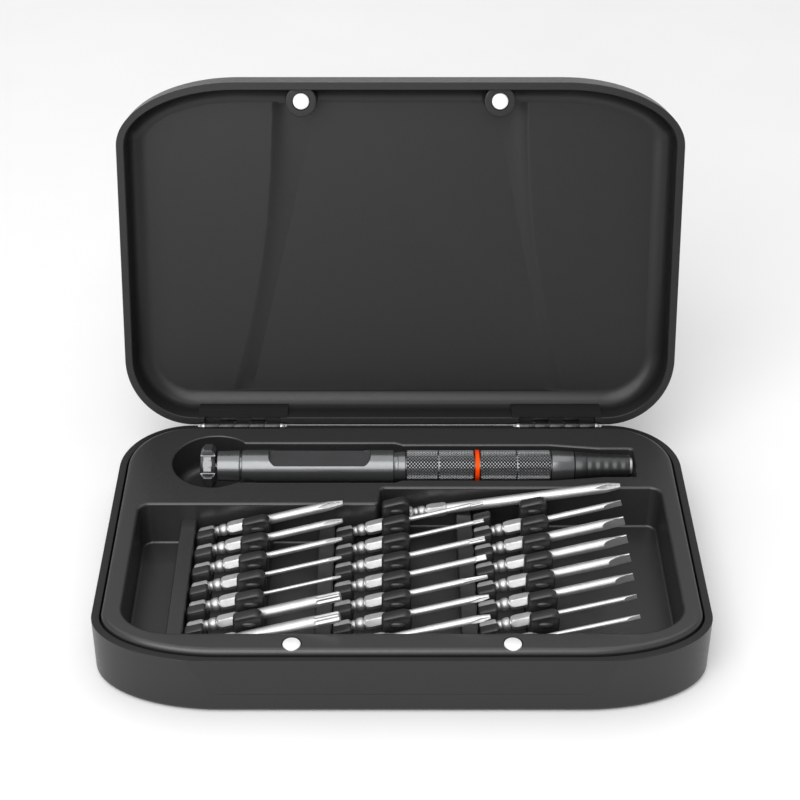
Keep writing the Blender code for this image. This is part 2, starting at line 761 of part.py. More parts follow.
def bit_ring(s, radius_at):
    """A ring of a bit: flats face local +Z and -Z, and a corner faces +Y."""
    points = []
    for i in range(BIT_SIDES):
        angle = 2 * math.pi * i / BIT_SIDES
        radius = radius_at(angle)
        points.append((s, radius * math.cos(angle), radius * math.sin(angle)))
    return points


def round_section(radius):
    """A round section."""
    return lambda angle: radius


def hex_section(across):
    """A hexagonal section."""
    return lambda angle: hex_radius(angle, across)


def blade_section(radius):
    """A slotted tip's section: a shaft ground down on two sides."""
    def section(angle):
        across = max(abs(math.cos(angle)), 0.05)
        return min(radius, BLADE_SHARE * radius / across) if across > 0.3 else radius
    return section


def tip_rings(kind, radius, start, end):
    """The last rings of a bit for its kind of tip."""
    full = bit_ring(start, round_section(radius))
    if kind == "slotted":
        blade = blade_section(radius)
        return [full, bit_ring(end - 0.4 * (end - start), blade), bit_ring(end, blade)]
    if kind == "star":
        return [full, bit_ring(end, round_section(0.92 * radius))]
    if kind == "five_lobe":
        return [full, bit_ring(end, round_section(0.6 * radius))]
    waist = bit_ring(start + 0.55 * (end - start), round_section(0.85 * radius))
    return [full, waist, bit_ring(end, round_section(0.45 * radius))]


def bit_mesh(kind, diameter, tip, length):
    """A bit along +X: hexagonal shank end, detent neck, hexagonal collar, round shaft, tip."""
    radius = diameter / 2
    rings = [bit_ring(0.0, hex_section(SHANK_CHAMFER * BIT_HEX))]
    rings += [bit_ring(s * MM, hex_section(BIT_HEX)) for s in SHANK_END]
    rings += [bit_ring(s * MM, round_section(DETENT_SHARE * BIT_HEX / 2)) for s in DETENT]
    rings += [bit_ring(s * MM, hex_section(BIT_HEX)) for s in COLLAR_ENDS]
    rings.append(bit_ring(SHAFT_START * MM, round_section(radius)))
    rings += tip_rings(kind, radius, length - tip, length)
    return loft_mesh(rings)


def place_bit(item, start, tilt):
    """Lay a bit in its row, with its tip raised."""
    item.location = start
    item.rotation_euler = (0.0, -tilt, 0.0)


def make_bits(steel):
    """Three columns of seven bits, and one long bit behind them."""
    counts = {}
    for column, rows in enumerate(BITS):
        for row, (kind, diameter, tip) in enumerate(rows):
            counts[kind] = counts.get(kind, 0) + 1
            name = f"bit_{kind}_{counts[kind]}"
            bit = add_object(name, bit_mesh(kind, diameter, tip, BIT_LENGTH), steel)
            place_bit(bit, (COLUMN_X[column], ROW_Y - row * ROW_PITCH, SHANK_Z), BIT_TILT)
    bm = bit_mesh("cross", LONG_DIAMETER, LONG_TIP, LONG_LENGTH)
    place_bit(add_object("bit_cross_long", bm, steel), LONG_START, LONG_TILT)


# ---------------------------------------------------------------- driver handle

def crown_ring(x, radius):
    """A hexagonal crown section with cut corners."""
    points = []
    for i in range(HANDLE_SIDES):
        angle = 2 * math.pi * i / HANDLE_SIDES
        reach = min(hex_radius(angle, 2 * radius * CROWN_FLAT), radius)
        points.append((x, reach * math.cos(angle), reach * math.sin(angle)))
    return points


def make_cap(metal, steel):
    """The spinning end cap with its bearing, and the screw that it turns on."""
    place = (0.0, HANDLE_Y, HANDLE_Z)
    rings = [crown_ring(x, radius) for x, radius in scaled(CROWN)]
    rings += [turned_ring(x, radius) for x, radius in scaled(CROWN_BORE)]
    add_object("swivel_cap", closed_loop(rings), metal, place)
    add_object("cap_bearing", sleeve(scaled(BEARING), BEARING_BORE, 16), steel, place, True)
    add_object("cap_screw", turned(scaled(CAP_SCREW), 16), steel, place, True)


def make_barrel(aluminium):
    """The barrel with its spigot for the sleeves, a milled flat and the cap screw's bore."""
    place = (0.0, HANDLE_Y, HANDLE_Z)
    barrel = add_object("handle_barrel", turned(scaled(BARREL)), aluminium, place, True)
    flat = bmesh.new()
    add_box(flat, FLAT_LOW, FLAT_HIGH)
    boolean(barrel, "milled_flat", add_object("handle_flat_cut", flat, aluminium), "DIFFERENCE")
    bore = add_object("handle_bore_cut", turned(scaled(CAP_BORE), 16), aluminium)
    boolean(barrel, "cap_bore", bore, "DIFFERENCE")


def make_handle(aluminium, dark, orange, steel, nickel):
    """The driver handle: barrel, knurled sleeves, accent ring, nose and magnetic socket."""
    place = (0.0, HANDLE_Y, HANDLE_Z)
    make_barrel(aluminium)
    sleeves = (
        ("grip_sleeve_rear", REAR_SLEEVE, dark),
        ("accent_ring", ACCENT_RING, orange),
        ("grip_sleeve_front", FRONT_SLEEVE, dark),
        ("front_collar", COLLAR, aluminium),
    )
    for name, stations, made_material in sleeves:
        tube = sleeve(scaled(stations), SLEEVE_BORE)
        add_object(name, tube, made_material, place, True)
    add_object("nose_cone", turned(scaled(NOSE)), dark, place, True)
    add_object("bit_socket", turned(scaled(SOCKET), 16), steel, place, True)
    add_object("socket_magnet", turned(scaled(SOCKET_MAGNET), 16), nickel, place, True)


def main():
    """Build the whole set."""
    clear_scene()
    shell_plastic = material("shell_plastic", (0.045, 0.045, 0.047), 0.55, 0.0)
    tray_plastic = material("tray_plastic", (0.05, 0.05, 0.052), 0.6, 0.0)
    rubber = material("holder_rubber", (0.02, 0.02, 0.02), 0.75, 0.0)
    bit_steel = material("bit_steel", (0.75, 0.75, 0.76), 0.15, 1.0)
    hinge_metal = material("hinge_metal", (0.08, 0.08, 0.085), 0.4, 1.0)
    nickel = material("magnet_nickel", (0.9, 0.9, 0.88), 0.2, 1.0)
    aluminium = material("anodised_aluminium", (0.13, 0.135, 0.145), 0.35, 1.0)
    dark_metal = material("dark_grip_metal", (0.06, 0.062, 0.066), 0.4, 1.0)
    orange = material("accent_orange", (0.9, 0.08, 0.01), 0.35, 0.0)
    crown_metal = material("crown_metal", (0.45, 0.45, 0.46), 0.25, 1.0)
    make_base(shell_plastic)
    make_tray(tray_plastic)
    make_lid(shell_plastic)
    make_hinge(-1, "left", hinge_metal, bit_steel)
    make_hinge(1, "right", hinge_metal, bit_steel)
    make_magnets(nickel)
    for column in range(3):
        make_holder(column, rubber)
    make_bits(bit_steel)
    make_handle(aluminium, dark_metal, orange, bit_steel, nickel)
    make_cap(crown_metal, bit_steel)


main()
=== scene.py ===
"""Looks for the precision screwdriver set: a moulded case, a tray of polished bits in rubber
holders and a knurled driver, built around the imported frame.

Lengths inside this script are in millimetres and become metres when a piece is made. The lid's
pieces are shaped as if it were shut and then turned open about the hinge axis.
"""
import json
import math

import bmesh
import bpy
from mathutils import Matrix, Vector


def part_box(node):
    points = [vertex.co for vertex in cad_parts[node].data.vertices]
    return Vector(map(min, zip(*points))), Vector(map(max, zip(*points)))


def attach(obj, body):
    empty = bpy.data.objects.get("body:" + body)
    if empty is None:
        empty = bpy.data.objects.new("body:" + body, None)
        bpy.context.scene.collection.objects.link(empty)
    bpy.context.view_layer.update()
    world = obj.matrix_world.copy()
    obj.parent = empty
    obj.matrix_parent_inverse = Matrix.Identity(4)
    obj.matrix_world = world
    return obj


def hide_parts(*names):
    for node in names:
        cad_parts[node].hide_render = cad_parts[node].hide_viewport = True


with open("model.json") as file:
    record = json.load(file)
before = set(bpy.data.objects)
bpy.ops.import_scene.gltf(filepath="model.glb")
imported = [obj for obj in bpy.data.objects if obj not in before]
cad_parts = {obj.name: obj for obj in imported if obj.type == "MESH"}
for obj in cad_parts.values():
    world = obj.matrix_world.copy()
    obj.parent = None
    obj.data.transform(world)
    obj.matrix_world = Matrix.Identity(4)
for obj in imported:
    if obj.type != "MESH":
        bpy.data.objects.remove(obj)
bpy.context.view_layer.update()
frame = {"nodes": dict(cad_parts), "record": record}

MM = 0.001
TURN = 2 * math.pi
QUARTER = math.pi / 2

# ---------------------------------------------------------------- places read from the frame


def box_mm(node):
    """A CAD node's lowest and highest corners, in millimetres."""
    low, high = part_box(node)
    return low / MM, high / MM


BASE_LOW, BASE_HIGH = box_mm("base_shell")
HALF_WIDTH = (BASE_HIGH.x - BASE_LOW.x) / 2
HALF_DEPTH = (BASE_HIGH.y - BASE_LOW.y) / 2
BASE_TOP = BASE_HIGH.z
TRAY_TOP = box_mm("bit_tray")[1].z
MAGNET_LOW, MAGNET_HIGH = box_mm("tray_magnet_right")
MAGNET_X = (MAGNET_LOW.x + MAGNET_HIGH.x) / 2
MAGNET_Y = (MAGNET_LOW.y + MAGNET_HIGH.y) / 2
MAGNET_RADIUS = (MAGNET_HIGH.x - MAGNET_LOW.x) / 2
MAGNET_HEIGHT = MAGNET_HIGH.z - MAGNET_LOW.z
HINGE_LOW, HINGE_HIGH = box_mm("hinge_right_pin")
HINGE_X = (HINGE_LOW.x + HINGE_HIGH.x) / 2
SOCKET_LOW, SOCKET_HIGH = box_mm("bit_socket")
HANDLE_Y = (SOCKET_LOW.y + SOCKET_HIGH.y) / 2
HANDLE_Z = (SOCKET_LOW.z + SOCKET_HIGH.z) / 2
JOINTS = {joint["name"]: joint for joint in frame["record"]["behaviour"]["joints"]}
AXIS_Y, AXIS_Z = (value / MM for value in JOINTS["lid_hinge"]["pos_m"][1:])
LID_OPEN = math.radians(min(JOINTS["lid_hinge"]["range_deg"]))
LID_TURN = (
    Matrix.Translation((0, AXIS_Y, AXIS_Z))
    @ Matrix.Rotation(LID_OPEN, 4, "X")
    @ Matrix.Translation((0, -AXIS_Y, -AXIS_Z))
)

# ---------------------------------------------------------------- sizes in millimetres

CORNER_STEPS = 24
FRONT_CORNER = (37.0, 19.5)
REAR_CORNER = (21.4, 21.4)
RIM_WALL = 2.3

LID_RIM = BASE_TOP + 0.15
LID_TOP = BASE_TOP + 14.3
LID_CEILING = LID_TOP - 2.3
LID_STEP = 1.0
LID_RISE = 0.7

BARREL_LENGTH = 24.0
BARREL_RADIUS = 1.25
POCKET_HALF = 14.3
LEAF_THICKNESS = 0.8


# ---------------------------------------------------------------- node materials

NOISE_LOW = 0.3
NOISE_HIGH = 0.7


class Surface:
    """A small helper for building one Principled node material."""

    def __init__(self, name, roughness, metallic):
        self.material = bpy.data.materials.new(name)
        self.material.use_nodes = True
        self.nodes = self.material.node_tree.nodes
        self.links = self.material.node_tree.links
        self.shader = self.nodes["Principled BSDF"]
        self.shader.inputs["Roughness"].default_value = roughness
        self.shader.inputs["Metallic"].default_value = metallic
        self.place = self.nodes.new("ShaderNodeTexCoord").outputs["Object"]
        self.height = None

    def link(self, source, target):
        self.links.new(source, target)

    def stretched(self, scale):
        """Object coordinates scaled differently along each axis."""
        mapping = self.nodes.new("ShaderNodeMapping")
        mapping.inputs["Scale"].default_value = scale
        self.link(self.place, mapping.inputs["Vector"])
        return mapping.outputs["Vector"]

    def noise(self, size_mm, detail=3.0, rough=0.5, stretch=None):
        """Noise whose features are about size_mm across."""
        node = self.nodes.new("ShaderNodeTexNoise")
        node.inputs["Scale"].default_value = 1.0 / (size_mm * MM)
        node.inputs["Detail"].default_value = detail
        node.inputs["Roughness"].default_value = rough
        place = self.stretched(stretch) if stretch else self.place
        self.link(place, node.inputs["Vector"])
        return node.outputs["Fac"]

    def cells(self, size_mm):
        """Rounded cells, as on a spark-eroded mould surface."""
        node = self.nodes.new("ShaderNodeTexVoronoi")
        node.inputs["Scale"].default_value = 1.0 / (size_mm * MM)
        self.link(self.place, node.inputs["Vector"])
        return node.outputs["Distance"]

    def ramp(self, factor, stops):
        """A colour ramp over (position, colour) stops."""
        node = self.nodes.new("ShaderNodeValToRGB")
        self.link(factor, node.inputs["Fac"])
        ramp = node.color_ramp
        while len(ramp.elements) < len(stops):
            ramp.elements.new(0.5)
        for element, (position, color) in zip(ramp.elements, stops):
            element.position = position
            element.color = (*color, 1.0)
        return node.outputs["Color"]

    def color(self, factor, low, high):
        """Colours for the low and the high parts of a noise."""
        ramped = self.ramp(factor, [(NOISE_LOW, low), (NOISE_HIGH, high)])
        self.link(ramped, self.shader.inputs["Base Color"])

    def roughness(self, factor, low, high):
        """Roughness for the low and the high parts of a noise."""
        node = self.nodes.new("ShaderNodeMapRange")
        node.inputs["From Min"].default_value = NOISE_LOW
        node.inputs["From Max"].default_value = NOISE_HIGH
        node.inputs["To Min"].default_value = low
        node.inputs["To Max"].default_value = high
        self.link(factor, node.inputs["Value"])
        self.link(node.outputs["Result"], self.shader.inputs["Roughness"])

    def bump(self, factor, height_mm, strength):
        """Add one layer of bump; layers stack on each other."""
        node = self.nodes.new("ShaderNodeBump")
        node.inputs["Strength"].default_value = strength
        node.inputs["Distance"].default_value = height_mm * MM
        self.link(factor, node.inputs["Height"])
        if self.height:
            self.link(self.height, node.inputs["Normal"])
        self.height = node.outputs["Normal"]
        self.link(self.height, self.shader.inputs["Normal"])


def gray(value, warm=0.0):
    """A near-neutral linear colour."""
    return (value * (1 + warm), value, value * (1 - warm))


def matte_plastic(name, tone, shine):
    """Moulded plastic with a fine spark-eroded texture."""
    made = Surface(name, 0.55, 0.0)
    made.color(made.noise(0.6, 2.0), gray(tone * 0.9), gray(tone * 1.1))
    made.roughness(made.noise(1.2), 0.31, 0.38)
    made.bump(made.noise(0.35, 2.0, 0.6), 0.014, 0.4)
    made.bump(made.cells(0.28), 0.008, 0.3)
    made.shader.inputs["Specular IOR Level"].default_value = shine
    return made.material


def holder_rubber():
    """Soft black rubber with a faint bloom."""
    made = Surface("holder_rubber", 0.6, 0.0)
    made.color(made.noise(3.0), gray(0.014), gray(0.019))
    made.roughness(made.noise(0.8), 0.32, 0.42)
    made.bump(made.noise(0.25), 0.008, 0.35)
    made.shader.inputs["Specular IOR Level"].default_value = 0.6
    return made.material


def polished_steel():
    """Bright bit steel with fine grinding lines along its length."""
    made = Surface("bit_steel", 0.42, 0.86)
    lines = made.noise(0.12, 3.0, 0.6, stretch=(0.06, 1.0, 1.0))
    made.color(made.noise(2.5), gray(0.56), gray(0.66))
    made.roughness(lines, 0.38, 0.46)
    made.bump(lines, 0.002, 0.25)
    return made.material


def magnet_nickel():
    """Nickel plating, slightly clouded."""
    made = Surface("magnet_nickel", 0.45, 0.35)
    made.color(made.noise(1.2), gray(0.95, 0.01), gray(0.98, 0.01))
    made.roughness(made.noise(0.5), 0.42, 0.5)
    made.bump(made.noise(0.6), 0.001, 0.2)
    return made.material


def hinge_metal():
    """Black plated steel whose tone varies a little at random."""
    made = Surface("hinge_metal", 0.38, 1.0)
    made.color(made.noise(0.8), gray(0.05), gray(0.085))
    made.roughness(made.noise(0.3), 0.3, 0.45)
    made.bump(made.noise(0.15), 0.004, 0.4)
    return made.material


def anodised(name, tone, rough=0.26, metallic=0.82):
    """Satin anodised aluminium with turning lines round the driver's axis."""
    made = Surface(name, rough, metallic)
    lines = made.noise(0.15, 1.0, 0.4, stretch=(1.0, 0.03, 0.03))
    made.color(made.noise(4.0), gray(tone * 0.96, -0.02), gray(tone * 1.04, -0.02))
    made.roughness(lines, rough - 0.008, rough + 0.008)
    return made.material


def accent_orange():
    """Orange-red lacquer."""
    made = Surface("accent_orange", 0.3, 0.0)
    made.color(made.noise(0.8), (0.95, 0.045, 0.002), (1.0, 0.07, 0.004))
    made.roughness(made.noise(0.3), 0.25, 0.4)
    made.shader.inputs["Specular IOR Level"].default_value = 0.9
    made.shader.inputs["Specular Tint"].default_value = (1.0, 0.42, 0.03, 1.0)
    return made.material


def make_materials():
    """Every finish by its record slot; nose_metal is a darker look for one piece."""
    return {
        "shell_plastic": matte_plastic("shell_plastic", 0.0125, 0.42),
        "tray_plastic": matte_plastic("tray_plastic", 0.022, 0.75),
        "holder_rubber": holder_rubber(),
        "magnet_nickel": magnet_nickel(),
        "hinge_metal": hinge_metal(),
        "bit_steel": polished_steel(),
        "anodised_aluminium": anodised("anodised_aluminium", 0.2),
        "dark_grip_metal": anodised("dark_grip_metal", 0.2, 0.15, 0.95),
        "nose_metal": anodised("nose_metal", 0.07, 0.36),
        "accent_orange": accent_orange(),
        "crown_metal": anodised("crown_metal", 0.17, 0.28, 0.85),
    }


MATERIALS = make_materials()


# ---------------------------------------------------------------- making pieces

SHARP_ANGLE = 38


def mesh_object(name, bm, sharp_angle=SHARP_ANGLE):
    """An object from a bmesh in millimetres."""
    bmesh.ops.remove_doubles(bm, verts=bm.verts, dist=0.0005)
    bmesh.ops.recalc_face_normals(bm, faces=bm.faces)
    bmesh.ops.scale(bm, vec=(MM, MM, MM), verts=bm.verts)
    mesh = bpy.data.meshes.new(name)
    bm.to_mesh(mesh)
    bm.free()
    mesh.shade_smooth()
    mesh.set_sharp_from_angle(angle=math.radians(sharp_angle))
    made = bpy.data.objects.new(name, mesh)
    bpy.context.scene.collection.objects.link(made)
    return made


def settle(item):
    """Apply an object's modifiers to its mesh."""
    graph = bpy.context.evaluated_depsgraph_get()
    mesh = bpy.data.meshes.new_from_object(item.evaluated_get(graph))
    item.modifiers.clear()
    item.data = mesh
    mesh.shade_smooth()
    mesh.set_sharp_from_angle(angle=math.radians(SHARP_ANGLE))


def join(item, tool, operation):
    """Union, cut or intersect an object with a second one, and remove the second."""
    modifier = item.modifiers.new("join", "BOOLEAN")
    modifier.operation = operation
    modifier.object = tool
    modifier.solver = "EXACT"
    settle(item)
    bpy.data.objects.remove(tool, do_unlink=True)


def combine(item, bm, operation):
    """The same with a bmesh in millimetres."""
    join(item, mesh_object("tool", bm), operation)


def round_edges(item, width_mm, angle=40):
    """Bevel the sharp edges."""
    modifier = item.modifiers.new("round", "BEVEL")
    modifier.width = width_mm * MM
    modifier.segments = 2
    modifier.limit_method = "ANGLE"
    modifier.angle_limit = math.radians(angle)
    settle(item)


def even_shading(item):
    """Split the many-sided faces, and weight the normals so that flats look flat beside fillets."""
    bm = bmesh.new()
    bm.from_mesh(item.data)
    many_sided = [face for face in bm.faces if len(face.verts) > 4]
    bmesh.ops.triangulate(bm, faces=many_sided, ngon_method="EAR_CLIP")
    bm.to_mesh(item.data)
    bm.free()
    item.modifiers.new("even_shading", "WEIGHTED_NORMAL").keep_sharp = True


def place(item, body, slot, *nodes):
    """Finish a piece: its material, its body and the CAD nodes that it stands for."""
    item.data.materials.clear()
    item.data.materials.append(MATERIALS[slot])
    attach(item, body)
    if nodes:
        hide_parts(*nodes)
    return item


def open_lid(item):
    """Turn a piece that was shaped on the shut lid to the lid's place at rest."""
    turn = LID_TURN.copy()
    turn.translation = turn.translation * MM
    item.data.transform(turn)


# ---------------------------------------------------------------- outlines and lofts

def arc(center, radii, start, sweep, steps):
    """Points on an elliptical arc, ends included."""
    angles = [start + sweep * i / steps for i in range(steps + 1)]
    return [
        (center[0] + radii[0] * math.cos(a), center[1] + radii[1] * math.sin(a)) for a in angles
    ]


def case_outline(inset):
    """The case's outline: elliptical front corners and round rear corners."""
    front = (FRONT_CORNER[0] - inset, FRONT_CORNER[1] - inset)
    rear = (REAR_CORNER[0] - inset, REAR_CORNER[1] - inset)
    rear_x, rear_y = HALF_WIDTH - REAR_CORNER[0], HALF_DEPTH - REAR_CORNER[1]
    front_x, front_y = HALF_WIDTH - FRONT_CORNER[0], FRONT_CORNER[1] - HALF_DEPTH
    points = arc((rear_x, rear_y), rear, 0, QUARTER, CORNER_STEPS)
    points += arc((-rear_x, rear_y), rear, QUARTER, QUARTER, CORNER_STEPS)
    points += arc((-front_x, front_y), front, 2 * QUARTER, QUARTER, CORNER_STEPS)
    points += arc((front_x, front_y), front, 3 * QUARTER, QUARTER, CORNER_STEPS)
    return points


def case_loft(rings):
    """A solid through the case's outline at each (z, inset)."""
    return loft(bmesh.new(), [[(x, y, z) for x, y in case_outline(inset)] for z, inset in rings])


def edge_rings(z_start, inset_start, z_end, inset_end, steps, bulge_first):
    """Rings along a quarter-round edge. bulge_first leaves the start along Z."""
    rings = []
    for i in range(steps + 1):
        a = QUARTER * i / steps
        if bulge_first:
            up, across = math.sin(a), 1 - math.cos(a)
        else:
            up, across = 1 - math.cos(a), math.sin(a)
        inset = inset_start + (inset_end - inset_start) * across
        rings.append((z_start + (z_end - z_start) * up, inset))
    return rings


def loft(bm, rings):
    """Bridge rings of equally many points, and cap both ends."""
    made = [[bm.verts.new(point) for point in ring] for ring in rings]
    count = len(made[0])
    for low, high in zip(made, made[1:]):
        for i in range(count):
            j = (i + 1) % count
            bm.faces.new((low[i], low[j], high[j], high[i]))
    bm.faces.new(list(reversed(made[0])))
    bm.faces.new(made[-1])
    return bm


def offset(points, distance):
    """Move a closed outline outwards along its corner normals; it runs anticlockwise."""
    moved = []
    count = len(points)
    for i, (x, y) in enumerate(points):
        ax, ay = points[i - 1]
        bx, by = points[(i + 1) % count]
        first = Vector((y - ay, ax - x)).normalized()
        second = Vector((by - y, x - bx)).normalized()
        normal = (first + second).normalized()
        reach = distance / max(0.4, normal.dot(first))
        moved.append((x + normal.x * reach, y + normal.y * reach))
    return moved


def pocket(outline, profile):
    """A loft through an outline offset by each (z, offset) of a profile."""
    rings = [[(x, y, z) for x, y in offset(outline, grow)] for z, grow in profile]
    return loft(bmesh.new(), rings)


def add_prism(bm, outline, heights):
    """An upright prism over an outline."""
    return loft(bm, [[(x, y, z) for x, y in outline] for z in heights])


def add_box(bm, low, high):
    """An axis-aligned box between two corners."""
    (x0, y0, z0), (x1, y1, z1) = low, high
    add_prism(bm, ((x0, y0), (x1, y0), (x1, y1), (x0, y1)), (z0, z1))


def add_turned(bm, center, profile, sides=48, axis="Z"):
    """A solid turned about an axis through a point, from (along, radius) stations."""
    rings = []
    for along, radius in profile:
        ring = []
        for i in range(sides):
            a = TURN * i / sides
            u, v = radius * math.cos(a), radius * math.sin(a)
            if axis == "Z":
                ring.append((center[0] + u, center[1] + v, center[2] + along))
            else:
                ring.append((center[0] + along, center[1] + u, center[2] + v))
        rings.append(ring)
    loft(bm, rings)


def dedupe(points, least=0.02):
    """Drop points that repeat their neighbour."""
    kept = []
    for point in points:
        if not kept or math.dist(point, kept[-1]) > least:
            kept.append(point)
    if math.dist(kept[0], kept[-1]) <= least:
        kept.pop()
    return kept


def fillet(corners, steps=8):
    """A closed outline from (x, y, radius) corners."""
    points = []
    count = len(corners)
    for i, (x, y, radius) in enumerate(corners):
        here = Vector((x, y))
        before = (Vector(corners[i - 1][:2]) - here).normalized()
        after = (Vector(corners[(i + 1) % count][:2]) - here).normalized()
        angle = before.angle(after)
        if radius <= 0 or angle > math.pi - 0.02:
            points.append((x, y))
            continue
        reach = radius / math.tan(angle / 2)
        center = here + (before + after).normalized() * radius / math.sin(angle / 2)
        first = here + before * reach - center
        last = here + after * reach - center
        sweep = first.angle_signed(last)
        for k in range(steps + 1):
            spoke = first.copy()
            spoke.rotate(Matrix.Rotation(-sweep * k / steps, 2))
            points.append((center.x + spoke.x, center.y + spoke.y))
    return dedupe(points)


# ---------------------------------------------------------------- camera, floor and lights

CAMERA_PLACE = (-4.67, -420.75, 367.31)
CAMERA_PITCH = 35.53
CAMERA_LENS = 83.0
CAMERA_SHIFT = (0.0185, 0.0029)


def make_camera():
    """The camera looks down on the open case from the front."""
    data = bpy.data.cameras.new("camera")
    data.lens = CAMERA_LENS
    data.sensor_width = 36.0
    data.shift_x, data.shift_y = CAMERA_SHIFT
    data.clip_start = 0.01
    camera = bpy.data.objects.new("camera", data)
    camera.location = [value * MM for value in CAMERA_PLACE]
    camera.rotation_euler = (math.radians(90 - CAMERA_PITCH), 0, 0)
    bpy.context.scene.collection.objects.link(camera)
    bpy.context.scene.camera = camera


def area_light(name, location, target, size, power):
    """A soft rectangular light aimed at a point."""
    data = bpy.data.lights.new(name, "AREA")
    data.shape = "RECTANGLE"
    data.size, data.size_y = size
    data.energy = power
    light = bpy.data.objects.new(name, data)
    light.location = location
    light.rotation_euler = (Vector(target) - Vector(location)).to_track_quat("-Z", "Y").to_euler()
    bpy.context.scene.collection.objects.link(light)


def make_stage():
    """A pale floor, a pale world and soft studio lights."""
    half = 3.0
    bm = bmesh.new()
    corners = [(-half, -half), (half, -half), (half, half), (-half, half)]
    bm.faces.new([bm.verts.new((x, y, -0.02 * MM)) for x, y in corners])
    mesh = bpy.data.meshes.new("floor")
    bm.to_mesh(mesh)
    bm.free()
    floor = bpy.data.objects.new("floor", mesh)
    bpy.context.scene.collection.objects.link(floor)
    pale = Surface("pale_floor", 0.7, 0.0)
    pale.color(pale.noise(60.0), gray(0.92), gray(0.94))
    mesh.materials.append(pale.material)
    world = bpy.data.worlds.new("studio")
    world.use_nodes = True
    background = world.node_tree.nodes["Background"]
    background.inputs["Color"].default_value = (1.0, 1.0, 1.0, 1.0)
    background.inputs["Strength"].default_value = 0.45
    bpy.context.scene.world = world
    bpy.context.scene.view_settings.view_transform = "Standard"
    target = (0, 0.02, 0.03)
    area_light("key_light", (-0.32, -0.83, 0.9), target, (1.15, 1.3), 14.0)
    area_light("top_light", (0.0, 0.3, 1.6), target, (2.2, 1.6), 10.0)


# ---------------------------------------------------------------- case base

THUMB_HALF = 59.0
THUMB_DEPTH = 0.58
THUMB_BOTTOM = 7.0
TRAY_SHELF = 15.5
FLOOR_THICKNESS = 1.8
POCKET_RADIUS = 1.5
LEAF_FRONT = 52.0
ROOM_FRONT = 53.4
ROOM_BACK = 59.0
KNUCKLE_GAP = 0.15
KNUCKLE_LENGTH = (BARREL_LENGTH - 4 * KNUCKLE_GAP) / 5


def knuckle_start(x, index):
    """Where one knuckle of the hinge at x begins."""
    return x - BARREL_LENGTH / 2 + index * (KNUCKLE_LENGTH + KNUCKLE_GAP)


def knuckles(up):
    """The places, from 0 to 4, of the lid's knuckles or the base's."""
    return (1, 3) if up else (0, 2, 4)


def hinge_rooms(up):
    """Cutters for the room that each hinge turns in, on the lid's side or the base's."""
    way = 1 if up else -1
    reach = (22.0 if up else 15.6) - AXIS_Z
    far = AXIS_Z - way * 6.0
    for side in (-1, 1):
        x = side * HINGE_X
        barrel = bmesh.new()
        steps = [(-POCKET_HALF, POCKET_RADIUS - 0.7), (-POCKET_HALF + 0.25, POCKET_RADIUS - 0.2),
                 (-POCKET_HALF + 0.8, POCKET_RADIUS)]
        profile = steps + [(-along, radius) for along, radius in reversed(steps)]
        add_turned(barrel, (x, AXIS_Y, AXIS_Z), profile, 48, "X")
        yield barrel
        left, right = x - POCKET_HALF + 0.1, x + POCKET_HALF - 0.1
        room = fillet([(left, ROOM_FRONT, 0.8), (right, ROOM_FRONT, 0.8), (right, ROOM_BACK, 0),
                       (left, ROOM_BACK, 0)], 5)
        yield add_prism(bmesh.new(), room, sorted((AXIS_Z + way * 0.01, far)))
        half = BARREL_LENGTH / 2 + 0.3
        leaf = fillet([(x - half, LEAF_FRONT, 0.5), (x + half, LEAF_FRONT, 0.5), (x + half, 53.95, 0),
                       (x - half, 53.95, 0)], 4)
        yield add_prism(bmesh.new(), leaf, sorted((AXIS_Z + reach, far)))
        slots = bmesh.new()
        low, high = sorted((AXIS_Z, AXIS_Z + reach + way * 1.0))
        for index in knuckles(up):
            start = knuckle_start(x, index)
            add_box(slots, (start - 0.2, 53.5, low), (start + KNUCKLE_LENGTH + 0.2, 57.0, high))
        yield slots


def make_base():
    """The lower shell, with a thumb recess in its front face."""
    rings = edge_rings(0.0, 1.9, 1.9, 0.0, 7, False)
    rings += edge_rings(BASE_TOP - 0.2, 0.0, BASE_TOP, 0.2, 3, True)
    rings += edge_rings(BASE_TOP, RIM_WALL - 0.25, BASE_TOP - 0.25, RIM_WALL, 3, False)
    rings += [(TRAY_SHELF, RIM_WALL), (TRAY_SHELF, 4.3), (FLOOR_THICKNESS, 4.3)]
    base = mesh_object("case_base", case_loft(rings))
    for room in hinge_rooms(False):
        combine(base, room, "DIFFERENCE")
    thumb = bmesh.new()
    outline = fillet([(-THUMB_HALF, THUMB_BOTTOM, 5.0), (THUMB_HALF, THUMB_BOTTOM, 5.0),
                      (THUMB_HALF, 25.0, 0), (-THUMB_HALF, 25.0, 0)])
    slope = THUMB_DEPTH / (BASE_TOP - THUMB_BOTTOM)
    sloping = [(x, -HALF_DEPTH + 0.03 + slope * (z - THUMB_BOTTOM), z) for x, z in outline]
    loft(thumb, [sloping, [(x, -HALF_DEPTH - 3.0, z) for x, z in outline]])
    combine(base, thumb, "DIFFERENCE")
    even_shading(base)
    place(base, "case", "shell_plastic", "base_shell")


# ---------------------------------------------------------------- tray

TRAY_INSET = 2.8
RECESS_FLOOR = 5.5
CHANNEL_FLOOR = 13.7
RIB_TOP = 14.3
RIB_WIDTH = 4.7
RIB_FRONT = -44.6
RIB_RIGHTS = (-61.6, -19.8, 21.5)
FINGER_HOLE = (-57.5, 33.6, 12.95)
MAGNET_HOLE = 2.75


